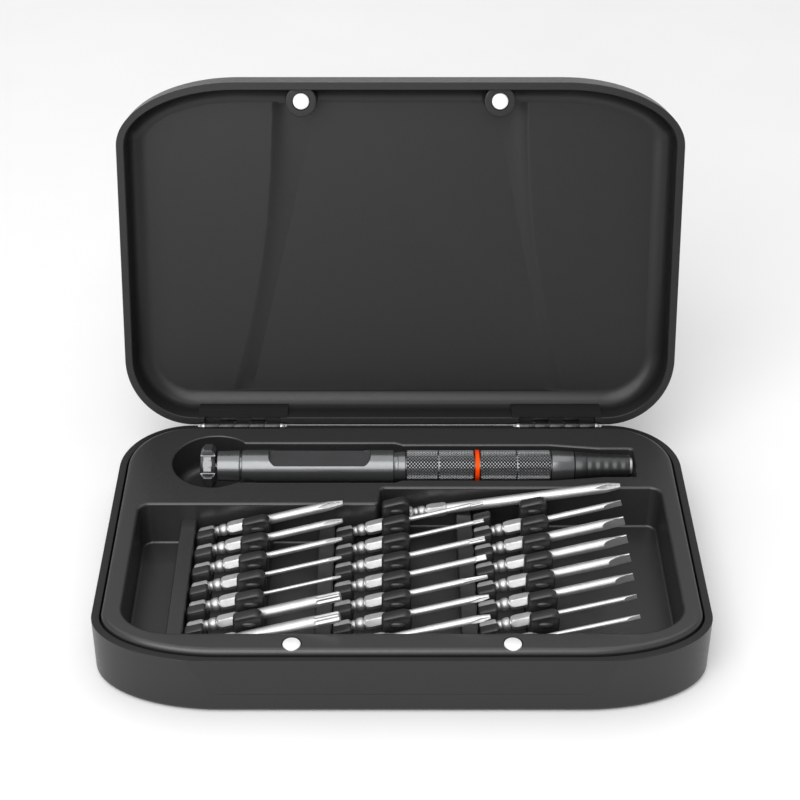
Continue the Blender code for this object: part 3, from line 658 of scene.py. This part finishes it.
def recess_outline():
    """The bit recess: an L with big front corners, wider at the back on the right."""
    left, right, front, back, back_left = -78.5, 78.8, -44.2, 20.2, 12.4
    round_back = 3.2
    oval = (15.0, 11.0)
    points = arc((right - round_back, back - round_back), (round_back, round_back), 0, QUARTER, 8)
    points += fillet([(60.0, back, 0), (-5.9, back, 1.4), (-6.7, back_left, 1.4),
                      (-60.0, back_left, 0), (-60.0, 0.0, 0), (60.0, 0.0, 0)])[1:-3]
    corner = (left + round_back, back_left - round_back)
    points += arc(corner, (round_back, round_back), QUARTER, QUARTER, 8)
    points += arc((left + oval[0], front + oval[1]), oval, 2 * QUARTER, QUARTER, 16)
    points += arc((right - oval[0], front + oval[1]), oval, 3 * QUARTER, QUARTER, 16)
    return dedupe(points)


def lip(floor, floor_round, top, top_round):
    """A pocket's (z, offset) profile: rounded floor edge, straight wall, rounded lip."""
    steps = 5
    profile = []
    for i in range(steps + 1):
        a = QUARTER * i / steps
        profile.append((floor + floor_round * (1 - math.cos(a)), floor_round * (math.sin(a) - 1)))
    for i in range(steps + 1):
        a = QUARTER * i / steps
        profile.append((top - top_round + top_round * math.sin(a), top_round * (1 - math.cos(a))))
    profile.append((top + 2.0, top_round))
    return profile


def channel_outline(grow):
    """The driver's channel in plan, grown all round: widest at the barrel, narrow at the nose."""
    half = [(-49.3, 9.85, 0), (-1.6, 9.85, 1.8), (0.9, 8.75, 1.8), (47.0, 8.75, 6.0),
            (62.5, 6.95, 6.0), (72.6 + grow, 6.95, 1.3)]
    front = [(x, HANDLE_Y - y - grow, r) for x, y, r in half]
    back = [(x, HANDLE_Y + y + grow, r) for x, y, r in reversed(half)]
    return fillet(front + back)


def tray_channel():
    """The cutter for the driver's channel, round at the bottom."""
    profile = [(CHANNEL_FLOOR, -5.6), (13.95, -4.2), (14.8, -2.5), (16.2, -1.1), (18.0, -0.3),
               (TRAY_TOP - 0.85, 0.0)]
    profile += lip(0.0, 0.1, TRAY_TOP, 0.8)[-6:]
    rings = [[(x, y, z) for x, y in channel_outline(grow)] for z, grow in profile]
    return loft(bmesh.new(), rings)


def tray_ribs():
    """The ribs beside the columns of bits; the last one runs back, lower, to the long bit."""
    ribs = bmesh.new()
    foot = RECESS_FLOOR - 0.5
    for right in RIB_RIGHTS:
        stations = [(RIB_FRONT, RIB_TOP), (12.8, RIB_TOP)]
        if right == RIB_RIGHTS[-1]:
            low = RIB_TOP - 1.1
            stations = [(RIB_FRONT, RIB_TOP), (14.9, RIB_TOP), (15.3, low), (20.6, low)]
        rings = []
        for y, top in stations:
            outline = fillet([(right - RIB_WIDTH, foot, 0), (right, foot, 0), (right, top, 0.5),
                              (right - RIB_WIDTH, top, 0.5)], 4)
            rings.append([(x, y, z) for x, z in outline])
        loft(ribs, rings)
    return ribs


def make_tray():
    """The moulded insert."""
    under = 15.8
    rings = [(2.2, 4.7), (under, 4.7), (under, TRAY_INSET)]
    rings += edge_rings(TRAY_TOP - 1.5, TRAY_INSET, TRAY_TOP, TRAY_INSET + 1.5, 6, True)
    tray = mesh_object("tray_insert", case_loft(rings))
    recess = pocket(recess_outline(), lip(RECESS_FLOOR, 0.8, TRAY_TOP, 0.8))
    combine(tray, recess, "DIFFERENCE")
    combine(tray, tray_channel(), "DIFFERENCE")
    hole_x, hole_y, radius = FINGER_HOLE
    circle = arc((hole_x, hole_y), (radius, radius), 0, TURN, 64)[:-1]
    combine(tray, pocket(circle, lip(9.0, 3.0, TRAY_TOP, 0.5)), "DIFFERENCE")
    cuts = bmesh.new()
    hole = [(MAGNET_LOW.z - 0.3, MAGNET_HOLE), (TRAY_TOP - 0.2, MAGNET_HOLE),
            (TRAY_TOP + 1, MAGNET_HOLE + 0.45)]
    for side in (-1, 1):
        add_turned(cuts, (side * MAGNET_X, MAGNET_Y, 0), hole)
    add_box(cuts, (-40.0, 22.0, 1.0), (76.0, 44.5, CHANNEL_FLOOR - 1.6))
    combine(tray, cuts, "DIFFERENCE")
    combine(tray, tray_ribs(), "UNION")
    even_shading(tray)
    place(tray, "case", "tray_plastic", "bit_tray")


# ---------------------------------------------------------------- lid

BOSS_RADIUS = 4.8
BOSS_FACE = BASE_TOP + 1.9
LID_WALL = 2.4


def relief_edge(s, soft):
    """Half width of the lid's middle panel at s from the back, at its soft or its crisp edge."""
    share = max(0.0, (105.0 - s) / 102.0) ** 2.2
    return (40.0 + 16.3 * share) if soft else (37.7 + 11.2 * share)


def relief_prism(low, high, shrink):
    """The middle panel's volume between two heights; its sides slope from soft to crisp."""
    steps = 28
    places = [-HALF_DEPTH - 4.0 + (2 * HALF_DEPTH + 8.0) * i / steps for i in range(steps + 1)]
    rings = []
    for z, mix in ((low, 0.0), (low + 0.15 * (high - low), 0.35), (high, 1.0), (high + 3.0, 1.0)):
        right = []
        for y in places:
            s = HALF_DEPTH - y
            half = relief_edge(s, True) * (1 - mix) + relief_edge(s, False) * mix + shrink
            right.append((half, y, z))
        left = [(-x, y, z) for x, y, z in reversed(right)]
        rings.append(right + left)
    return loft(bmesh.new(), rings)


def lid_outside(rise):
    """The lid's outer form, with its top raised by a step."""
    top = LID_TOP + rise
    edge = 3.3 if rise else 2.3
    rings = [(LID_RIM, 0.16), (LID_RIM + 0.16, 0.0)]
    rings += edge_rings(top - edge, 0.0, top, edge, 9, True)
    return case_loft(rings)


def lid_inside(rise):
    """The lid's inner cavity, with its ceiling raised by a step."""
    ceiling = LID_CEILING + rise
    rings = [(LID_RIM - 1.0, LID_WALL - 0.3), (LID_RIM, LID_WALL - 0.25), (LID_RIM + 0.25, LID_WALL)]
    rings += edge_rings(ceiling - 4.5, LID_WALL + 0.25, ceiling, LID_WALL + 5.5, 10, True)
    return case_loft(rings)


def make_lid():
    """The lid shell, with a raised middle panel, magnet bosses and hinge pads."""
    lid = mesh_object("case_lid", lid_outside(0.0))
    raised = mesh_object("raised", lid_outside(LID_RISE))
    combine(raised, relief_prism(LID_TOP - 0.02, LID_TOP + LID_RISE, 1.5), "INTERSECT")
    join(lid, raised, "UNION")
    sunk = mesh_object("sunk", lid_inside(LID_STEP))
    combine(sunk, relief_prism(LID_CEILING - 0.02, LID_CEILING + LID_STEP, 0.0), "INTERSECT")
    combine(lid, lid_inside(0.0), "DIFFERENCE")
    join(lid, sunk, "DIFFERENCE")
    combine(lid, lid_bosses(), "UNION")
    for room in hinge_rooms(True):
        combine(lid, room, "DIFFERENCE")
    combine(lid, lid_magnet_holes(), "DIFFERENCE")
    open_lid(lid)
    even_shading(lid)
    place(lid, "lid", "shell_plastic", "lid_shell")


def lid_bosses():
    """Magnet bosses by the opening edge, and the pads that hold the hinge leaves."""
    bm = bmesh.new()
    up = LID_CEILING + 1.2
    boss = [(BOSS_FACE, BOSS_RADIUS - 0.35), (BOSS_FACE + 0.12, BOSS_RADIUS - 0.1),
            (BOSS_FACE + 0.35, BOSS_RADIUS), (up, BOSS_RADIUS + 0.15)]
    reach = POCKET_HALF + 0.05
    pad = fillet([(LID_RIM + 0.1, 53.0, 0), (LID_RIM + 0.1, 52.15, 0), (BOSS_FACE + 2.0, 50.9, 2.0),
                  (up, 50.6, 0), (up, 53.0, 0)], 6)
    for side in (-1, 1):
        add_turned(bm, (side * MAGNET_X, MAGNET_Y, 0), boss, 56)
        x = side * HINGE_X
        loft(bm, [[(x + across * reach, y, z) for z, y in pad] for across in (-1, 1)])
    return bm


def lid_magnet_holes():
    """The holes in the bosses, a little wider at the mouth."""
    bm = bmesh.new()
    hole = [(BOSS_FACE - 1.0, MAGNET_HOLE + 0.2), (BOSS_FACE + 0.15, MAGNET_HOLE),
            (BOSS_FACE + MAGNET_HEIGHT + 0.3, MAGNET_HOLE)]
    for side in (-1, 1):
        add_turned(bm, (side * MAGNET_X, MAGNET_Y, 0), hole)
    return bm


def make_magnets():
    """Nickel-plated discs with rounded rims."""
    rim = 0.3
    chamfer = 0.09
    for side, label in ((-1, "left"), (1, "right")):
        for body, low, prefix in (("case", MAGNET_LOW.z, "tray"), ("lid", BOSS_FACE, "lid")):
            high = low + MAGNET_HEIGHT
            profile = [(low, MAGNET_RADIUS - rim), (low + chamfer, MAGNET_RADIUS - chamfer),
                       (low + rim, MAGNET_RADIUS), (high - rim, MAGNET_RADIUS),
                       (high - chamfer, MAGNET_RADIUS - chamfer), (high, MAGNET_RADIUS - rim)]
            bm = bmesh.new()
            add_turned(bm, (side * MAGNET_X, MAGNET_Y, 0), profile, 64)
            magnet = mesh_object(f"{prefix}_disc_{label}", bm, 50)
            if body == "lid":
                open_lid(magnet)
            place(magnet, body, "magnet_nickel", f"{prefix}_magnet_{label}")


# ---------------------------------------------------------------- hinges

WEB_BACK = -0.3
WEB_FRONT = -1.1


def knuckle_angle(y):
    """The angle on the barrel at which a web's face meets it."""
    return math.atan2(math.sqrt(BARREL_RADIUS ** 2 - y ** 2), y)


def make_leaf(label, x, up):
    """One leaf: knuckles with webs, on a plate that lies in the shell."""
    part = "lid" if up else "base"
    direction = 1 if up else -1
    reach = 4.4 if up else 2.05
    sweep = knuckle_angle(WEB_FRONT) - knuckle_angle(WEB_BACK) - TURN
    around = arc((0, 0), (BARREL_RADIUS, BARREL_RADIUS), knuckle_angle(WEB_BACK), sweep, 40)
    outline = [(y, z * direction) for y, z in around]
    outline += [(WEB_FRONT, direction * reach), (WEB_BACK, direction * reach)]
    bm = bmesh.new()
    for index in knuckles(up):
        start = knuckle_start(x, index)
        ends = (start, start + KNUCKLE_LENGTH)
        loft(bm, [[(end, AXIS_Y + y, AXIS_Z + z) for y, z in outline] for end in ends])
    leaf = mesh_object(f"hinge_{label}_{part}", bm)
    plate = bmesh.new()
    low = AXIS_Z + direction * reach - LEAF_THICKNESS / 2
    add_box(plate, (x - BARREL_LENGTH / 2 - 0.1, LEAF_FRONT, low),
            (x + BARREL_LENGTH / 2 + 0.1, AXIS_Y - 0.2, low + LEAF_THICKNESS))
    combine(leaf, plate, "UNION")
    round_edges(leaf, 0.12)
    if up:
        open_lid(leaf)
    place(leaf, "lid" if up else "case", "hinge_metal", f"hinge_{label}_{part}_leaf")


def make_pin(label, x):
    """A pin with a domed head at each end."""
    half = BARREL_LENGTH / 2
    angles = [QUARTER * i / 7 for i in range(8)]
    dome = [(half + 0.3 + 1.35 * math.sin(a), 0.95 * math.cos(a)) for a in angles]
    dome[-1] = (dome[-1][0], 0.06)
    dome = [(half + 0.1, 0.5), (half + 0.1, 0.95)] + dome
    profile = [(-along, radius) for along, radius in reversed(dome)] + dome
    bm = bmesh.new()
    add_turned(bm, (x, AXIS_Y, AXIS_Z), profile, 32, "X")
    place(mesh_object(f"hinge_{label}_rivet", bm, 50), "case", "bit_steel", f"hinge_{label}_pin")


def make_hinges():
    """Two leaves and a pin on each side."""
    for side, label in ((-1, "left"), (1, "right")):
        x = side * HINGE_X
        make_leaf(label, x, False)
        make_leaf(label, x, True)
        make_pin(label, x)


# ---------------------------------------------------------------- bit holders

FIN_THICKNESS = 3.4


def fin(bm, x, y, outline):
    """One fin across the rows, with well-rounded edges."""
    half = FIN_THICKNESS / 2
    edge = 0.75
    angles = [QUARTER * i / 4 for i in range(5)]
    profile = [(-half + edge * (1 - math.cos(a)), -edge * (1 - math.sin(a))) for a in angles]
    profile += [(-across, grow) for across, grow in reversed(profile)]
    rings = []
    for across, grow in profile:
        rings.append([(x + px, y + across, pz) for px, pz in offset(outline, grow)])
    loft(bm, rings)


def grip_bump(bm, x, y, z, radii):
    """An oval bump that grips the bit beside it."""
    before = set(bm.verts)
    bmesh.ops.create_uvsphere(bm, u_segments=24, v_segments=12, radius=1.0)
    for vert in set(bm.verts) - before:
        vert.co = Vector((x + vert.co.x * radii[0], y + vert.co.y * radii[1], z + vert.co.z * radii[2]))


def make_holder(index, start, rows):
    """One rubber holder: strip, pedestals and rounded fins with grip bumps."""
    floor = RECESS_FLOOR + 0.2
    left, middle, ledge, right = -0.6, 4.9, 13.2, 21.6
    strip = fillet([(left, floor, 0), (right, floor, 0), (right, 13.9, 0.4), (ledge, 11.9, 0.4),
                    (ledge, 8.0, 0.3), (middle, 8.0, 0.3), (middle, 9.6, 0.3), (left, 8.5, 0.3)], 3)
    ends = (-43.6, 14.6 if index == 2 else 12.0)
    bm = bmesh.new()
    loft(bm, [[(start + x, y, z) for x, z in strip] for y in ends])
    holder = mesh_object(f"rubber_holder_{index + 1}", bm)
    big = fillet([(ledge, floor, 0), (right, floor, 0), (right, 22.6, 2.2), (ledge, 20.2, 1.2)], 6)
    small = fillet([(left, floor, 0), (middle, floor, 0), (middle, 16.7, 0.8), (left, 15.1, 0.8)], 6)
    behind = -1
    first = behind if index else 0
    pitch = rows[0] - rows[1]
    places = [(row, rows[0] - (row + 0.5) * pitch) for row in range(first, 6)]
    fins = bmesh.new()
    for row, y in places:
        fin(fins, start, y, big)
        if (index, row) != (1, behind):
            fin(fins, start, y, small)
    combine(holder, fins, "UNION")
    bumps = bmesh.new()
    for row, y in places:
        grip_bump(bumps, start + 17.7, y - FIN_THICKNESS / 2 + 0.1, 18.4, (2.3, 0.85, 0.95))
    combine(holder, bumps, "UNION")
    if index:
        cradle = bmesh.new()
        top = 10.1 if index == 1 else 16.5
        add_box(cradle, (start + 14.2, 11.0, floor), (start + 20.6, 19.6, top))
        combine(holder, cradle, "UNION")
    place(holder, "case", "holder_rubber", f"bit_holder_{index + 1}")


# ---------------------------------------------------------------- bits

HEX_ACROSS = 3.7
BIT_SIDES = 72


def hex_radius(angle):
    """Distance from the middle of the hexagon to its side; flats face the local Z axis."""
    turn = (angle % (math.pi / 3)) - math.pi / 6
    return HEX_ACROSS / 2 / math.cos(turn)


def axis_ends(node, tilt):
    """The centres of a bit's two ends, from its CAD solid, in millimetres."""
    along = Vector((math.cos(tilt), 0, math.sin(tilt)))
    points = [vert.co / MM for vert in frame["nodes"][node].data.vertices]
    reaches = [point.dot(along) for point in points]
    ends = []
    for limit in (min(reaches), max(reaches)):
        near = [p for p, reach in zip(points, reaches) if abs(reach - limit) < 0.02]
        ends.append(sum(near, Vector()) / len(near))
    return ends


def winged_tip(angle, t, radius, wings, root, cut):
    """Phillips and tri-wing: a blunt cone with wings left by flutes."""
    cone = radius * (1 - 0.45 * max(0.0, (t - 0.5) / 0.5))
    part = TURN / wings
    off_wing = abs((angle + part / 2) % part - part / 2)
    run = min(1.0, t / 0.5)
    wing = radius * (root - cut * run ** 0.8)
    return min(cone, wing / max(math.sin(off_wing), 0.05))


def star_tip(angle, t, radius, lobes):
    """Torx and five-lobe: a lobed prism with a small lead-in."""
    small = radius * 0.94
    depth = min(1.0, t / 0.12)
    wave = 0.5 + 0.5 * math.cos(lobes * angle)
    lobed = small * (0.76 + 0.24 * wave ** 0.8)
    lead = 1 - 0.1 * max(0.0, (t - 0.95) / 0.05)
    return (radius + (lobed - radius) * depth) * lead


def triangle_tip(angle, t, radius):
    """Triangle: three flats ground onto the shaft."""
    third = TURN / 3
    part = (angle + third / 2) % third - third / 2
    flat = 0.62 * radius / max(0.25, math.cos(part))
    depth = min(1.0, t / 0.25)
    return radius + (min(radius, flat) - radius) * depth


def blade_tip(angle, t, radius):
    """Slotted: two hollow-ground scoops leave a thin blade across the shaft."""
    thin = 0.13 * radius + 0.05
    scoop = math.sqrt(max(0.0, 1 - (1 - min(1.0, t / 0.85)) ** 2))
    half = radius + (thin - radius) * scoop
    across = abs(math.cos(angle))
    return min(radius, half / max(across, 0.02))


def tip_radius(kind, angle, t, radius):
    """A tip's section radius: t runs from 0 at its shoulder to 1 at its end."""
    if kind == "cross":
        return winged_tip(angle, t, radius, 4, 0.73, 0.47)
    if kind == "star":
        return star_tip(angle, t, radius, 6)
    if kind == "five_lobe":
        return star_tip(angle, t, radius * (1 - 0.35 * t), 5)
    if kind == "tri_wing":
        return winged_tip(angle, t, radius, 3, 0.9, 0.6)
    if kind == "triangle":
        return triangle_tip(angle, t, radius)
    return blade_tip(angle, t, radius)


def bit_sections(kind, diameter, tip, length):
    """(distance along the bit, section function) pairs from the shank end to the tip."""
    radius = diameter / 2

    def hexagon(chamfer=1.0):
        limit = HEX_ACROSS / 2 / math.cos(math.pi / 6) * chamfer
        return lambda a: min(hex_radius(a), limit)

    def round_one(value):
        return lambda a: value

    drive = ((0.0, 0.80), (0.12, 0.86), (0.35, 0.93), (0.7, 1.0), (4.3, 1.0), (4.6, 0.93), (4.8, 0.85))
    beads = ((4.9, 1.25), (5.2, 1.45), (5.7, 1.55), (6.1, 1.47), (6.25, 1.47), (6.6, 1.68),
             (7.1, 1.82), (7.7, 1.85), (8.2, 1.78), (8.6, 1.55), (8.75, 1.2), (9.05, 1.2))
    body = ((9.1, 0.86), (9.3, 0.91), (9.6, 0.955), (10.0, 0.98), (10.5, 1.0), (14.2, 1.0),
            (14.7, 0.93), (15.1, 0.86))
    sections = [(s, hexagon(chamfer)) for s, chamfer in drive]
    sections += [(s, round_one(value)) for s, value in beads]
    sections += [(s, hexagon(chamfer)) for s, chamfer in body]
    for i in range(6):
        share = i / 5
        ease = 0.5 - 0.5 * math.cos(math.pi * share)
        value = 0.86 * HEX_ACROSS / 2 * (1 - ease) + radius * ease
        sections.append((15.3 + 2.2 * share, round_one(value)))
    steps = 26
    for i in range(steps + 1):
        t = i / steps
        sections.append((length - tip + tip * t, lambda a, t=t: tip_radius(kind, a, t, radius)))
    return sections


def make_bit(node, name, kind, diameter, tip, tilt):
    """One bit as a loft of sections, laid where its CAD solid lies."""
    start, end = axis_ends(node, tilt)
    angles = [TURN * i / BIT_SIDES for i in range(BIT_SIDES)]
    rings = []
    for s, section in bit_sections(kind, diameter, tip, (end - start).length):
        spokes = [(a, section(a)) for a in angles]
        rings.append([(s, r * math.cos(a), r * math.sin(a)) for a, r in spokes])
    bm = loft(bmesh.new(), rings)
    lay = Matrix.Translation(start) @ Matrix.Rotation(-tilt, 4, "Y")
    bmesh.ops.transform(bm, matrix=lay, verts=bm.verts)
    place(mesh_object(name, bm, 28), node, "bit_steel", node)


BIT_TILT = math.radians(16.2)
LONG_TILT = math.radians(9.54)
# The columns from left to right, each from the back: the tip's kind, diameter and length.
COLUMNS = (
    (("cross", 2.9, 8.0), ("cross", 2.3, 6.2), ("cross", 1.85, 5.3), ("cross", 1.4, 4.1),
     ("cross", 1.1, 3.0), ("star", 3.2, 7.0), ("star", 3.4, 7.3)),
    (("star", 1.4, 3.8), ("star", 1.3, 3.2), ("star", 1.85, 5.0), ("triangle", 1.9, 3.3),
     ("five_lobe", 2.0, 7.0), ("tri_wing", 2.1, 5.4), ("tri_wing", 2.3, 5.7)),
    (("slotted", 2.0, 5.3), ("slotted", 3.1, 6.5), ("slotted", 3.1, 6.9), ("slotted", 3.0, 6.3),
     ("slotted", 2.6, 5.3), ("slotted", 1.5, 3.6), ("slotted", 1.4, 3.6)),
)


def make_bits():
    """Every bit, and the rubber holder under each column."""
    counts = {}
    for index, column in enumerate(COLUMNS):
        rows = []
        for kind, diameter, tip in column:
            counts[kind] = counts.get(kind, 0) + 1
            node = f"bit_{kind}_{counts[kind]}"
            make_bit(node, f"{kind}_driver_bit_{counts[kind]}", kind, diameter, tip, BIT_TILT)
            start = axis_ends(node, BIT_TILT)[0]
            rows.append(start.y)
        make_holder(index, start.x, rows)
    make_bit("bit_cross_long", "long_cross_driver_bit", "cross", 3.2, 7.8, LONG_TILT)


# ---------------------------------------------------------------- driver

DRIVER_SIDES = 96
SLEEVE_BORE = 3.3


def driver_ring(bm, x, radii):
    """Points round the driver's axis, one for each radius."""
    ring = []
    for i, r in enumerate(radii):
        a = TURN * i / len(radii)
        ring.append(bm.verts.new((x, HANDLE_Y + r * math.cos(a), HANDLE_Z + r * math.sin(a))))
    return ring


def squares(rings):
    """The corners of each square between one ring and the next; the last joins the first."""
    for low, high in zip(rings, rings[1:] + rings[:1]):
        for i in range(len(low)):
            j = (i + 1) % len(low)
            yield low[i], low[j], high[j], high[i]


def tube_piece(name, profile, bore, slot, node, sharp=40):
    """A turned piece with a bore through it."""
    bm = bmesh.new()
    ringed = list(profile) + [(profile[-1][0], bore), (profile[0][0], bore)]
    rings = [driver_ring(bm, x, [r] * DRIVER_SIDES) for x, r in ringed]
    for corners in squares(rings):
        bm.faces.new(corners)
    return place(mesh_object(name, bm, sharp), "handle", slot, node)


KNURL_RADIUS = 4.85
KNURL_DEPTH = 0.22
KNURL_PITCH = 1.0
KNURL_AROUND = 28
KNURL_SAMPLES = 6
BAND_HALF = 0.25
BAND_DEPTH = 0.05
END_CHAMFER = 0.25


def knurl_height(u, v):
    """Height of the flat-topped diamonds; u and v count samples round and along."""
    half = KNURL_SAMPLES / 2
    first = abs((u + v) % KNURL_SAMPLES - half) / half
    second = abs((u - v) % KNURL_SAMPLES - half) / half
    return min(1.0, 3.0 * (1 - max(first, second)))


def fold(bm, corners):
    """Two triangles that meet along the square's lower diagonal, so grooves stay unbroken."""
    a, b, c, d = corners
    rise = [(corner.co.y - HANDLE_Y) ** 2 + (corner.co.z - HANDLE_Z) ** 2 for corner in corners]
    if rise[0] + rise[2] < rise[1] + rise[3]:
        bm.faces.new((a, b, c))
        bm.faces.new((a, c, d))
    else:
        bm.faces.new((a, b, d))
        bm.faces.new((b, c, d))


def make_grip(name, start, end, band, node):
    """A diamond-knurled sleeve with a narrow smooth band."""
    sides = KNURL_AROUND * KNURL_SAMPLES
    steps = KNURL_SAMPLES * round((end - start) / KNURL_PITCH)
    bm = bmesh.new()
    rings = []
    for k in range(steps + 1):
        x = start + (end - start) * k / steps
        edge = min(x - start, end - x)
        radii = []
        for i in range(sides):
            dent = KNURL_DEPTH * (1 - knurl_height(i, k))
            if abs(x - band) < BAND_HALF:
                dent = BAND_DEPTH
            if edge < END_CHAMFER:
                dent = max(dent, END_CHAMFER - edge)
            radii.append(KNURL_RADIUS - dent)
        rings.append(driver_ring(bm, x, radii))
    for x in (end, start):
        rings.append(driver_ring(bm, x, [SLEEVE_BORE] * sides))
    for corners in squares(rings):
        fold(bm, corners)
    place(mesh_object(name, bm, 24), "handle", "dark_grip_metal", node)


def make_barrel():
    """The barrel, with a milled flat on top."""
    profile = [(-56.5, 4.4), (-56.3, 4.65), (-53.0, 4.72), (-49.8, 4.85), (-49.55, 4.75),
               (-49.5, 3.9), (-48.9, 3.9), (-48.85, 4.75), (-48.65, 4.95), (-2.25, 4.95),
               (-2.05, 4.8), (-2.0, 4.25), (-0.8, 4.25), (-0.75, 4.35), (-0.6, 4.45), (1.45, 4.45),
               (1.6, 4.35), (1.6, 3.0), (53.5, 3.0)]
    bm = bmesh.new()
    add_turned(bm, (0, HANDLE_Y, HANDLE_Z), profile, DRIVER_SIDES, "X")
    barrel = mesh_object("driver_barrel", bm)
    half = 4.05
    corners = fillet([(-40.7, -half, 2.6), (-9.1, -half, 2.6), (-9.1, half, 2.6), (-40.7, half, 2.6)])
    flat = [(x, HANDLE_Y + y) for x, y in corners]
    combine(barrel, add_prism(bmesh.new(), flat, (HANDLE_Z + 2.9, HANDLE_Z + 9.0)), "DIFFERENCE")
    round_edges(barrel, 0.1, 30)
    even_shading(barrel)
    place(barrel, "handle", "anodised_aluminium", "handle_barrel")


def make_nose():
    """The softly ribbed nose and the socket inside it."""
    profile = [(53.9, 4.25), (54.05, 4.37), (57.2, 4.17), (57.4, 4.1)]
    steps = 80
    for i in range(steps + 1):
        x = 57.6 + 12.4 * i / steps
        wave = 0.5 + 0.5 * math.cos(TURN * (x - 57.6) / 2.6)
        profile.append((x, 4.08 - 0.045 * (x - 57.6) - 0.13 * wave))
    profile += [(70.5, 3.45), (70.8, 3.3)]
    nose = tube_piece("driver_nose", profile, 2.9, "dark_grip_metal", "nose_cone", 50)
    nose.data.materials[0] = MATERIALS["nose_metal"]
    socket = [(58.6, 2.5), (71.3, 2.6), (71.6, 2.5), (71.7, 2.35)]
    tube_piece("driver_socket", socket, 2.15, "bit_steel", "bit_socket", 30)


CROWN_RADIUS = 6.85
CROWN_TURN = math.radians(-107.5)
LAND_HALF = math.radians(20.5)
SCOOP_HALF = math.pi / 6 - LAND_HALF


def crown_limit(angle):
    """The crown's outer form: six flat lands with a scoop between each pair."""
    off = abs((angle % (math.pi / 3)) - math.pi / 6)
    flat = 0.955 * CROWN_RADIUS / math.cos(min(off, LAND_HALF))
    if off <= LAND_HALF:
        return flat
    return flat - 1.8 * (1 - ((math.pi / 6 - off) / SCOOP_HALF) ** 2)


def make_cap():
    """The spinning cap: a scooped and bevelled crown around its bearing."""
    outer = [(-61.5, 5.3), (-61.35, 5.6), (-61.05, 5.95), (-60.8, 6.25), (-60.55, 6.55),
             (-60.35, CROWN_RADIUS), (-58.1, CROWN_RADIUS), (-57.9, 6.55), (-57.65, 6.25),
             (-57.4, 5.95), (-57.1, 5.6), (-57.0, 5.4)]
    inner = [(-57.0, 3.4), (-57.05, 3.3), (-59.4, 3.3), (-59.4, 1.4), (-60.1, 1.4), (-60.1, 2.5),
             (-61.4, 2.5), (-61.5, 2.7)]
    sides = 144
    limits = [crown_limit(TURN * i / sides + CROWN_TURN) for i in range(sides)]
    bm = bmesh.new()
    rings = []
    for x, radius in outer + inner:
        rings.append(driver_ring(bm, x, [min(radius, limit) for limit in limits]))
    for corners in squares(rings):
        bm.faces.new(corners)
    place(mesh_object("spinning_cap", bm, 25), "cap", "crown_metal", "swivel_cap")


def make_driver():
    """The whole driver."""
    make_barrel()
    make_grip("rear_grip", 1.9, 22.8, 11.8, "grip_sleeve_rear")
    make_grip("front_grip", 24.7, 46.4, 36.0, "grip_sleeve_front")
    ring = [(23.1, 4.9), (23.25, 5.03), (24.25, 5.03), (24.4, 4.9)]
    tube_piece("orange_ring", ring, SLEEVE_BORE, "accent_orange", "accent_ring")
    collar = [(46.7, 4.6), (46.9, 4.78), (48.8, 4.78), (49.1, 4.72), (53.4, 4.42), (53.6, 4.3)]
    tube_piece("smooth_collar", collar, SLEEVE_BORE, "anodised_aluminium", "front_collar")
    make_nose()
    make_cap()


def finish_cad_nodes():
    """Materials for the CAD nodes that stay as they are."""
    shown = {"cap_bearing": "bit_steel", "cap_screw": "bit_steel", "socket_magnet": "magnet_nickel"}
    for node, slot in shown.items():
        data = frame["nodes"][node].data
        data.materials.clear()
        data.materials.append(MATERIALS[slot])


make_camera()
make_stage()
make_base()
make_tray()
make_lid()
make_magnets()
make_hinges()
make_bits()
make_driver()
finish_cad_nodes()
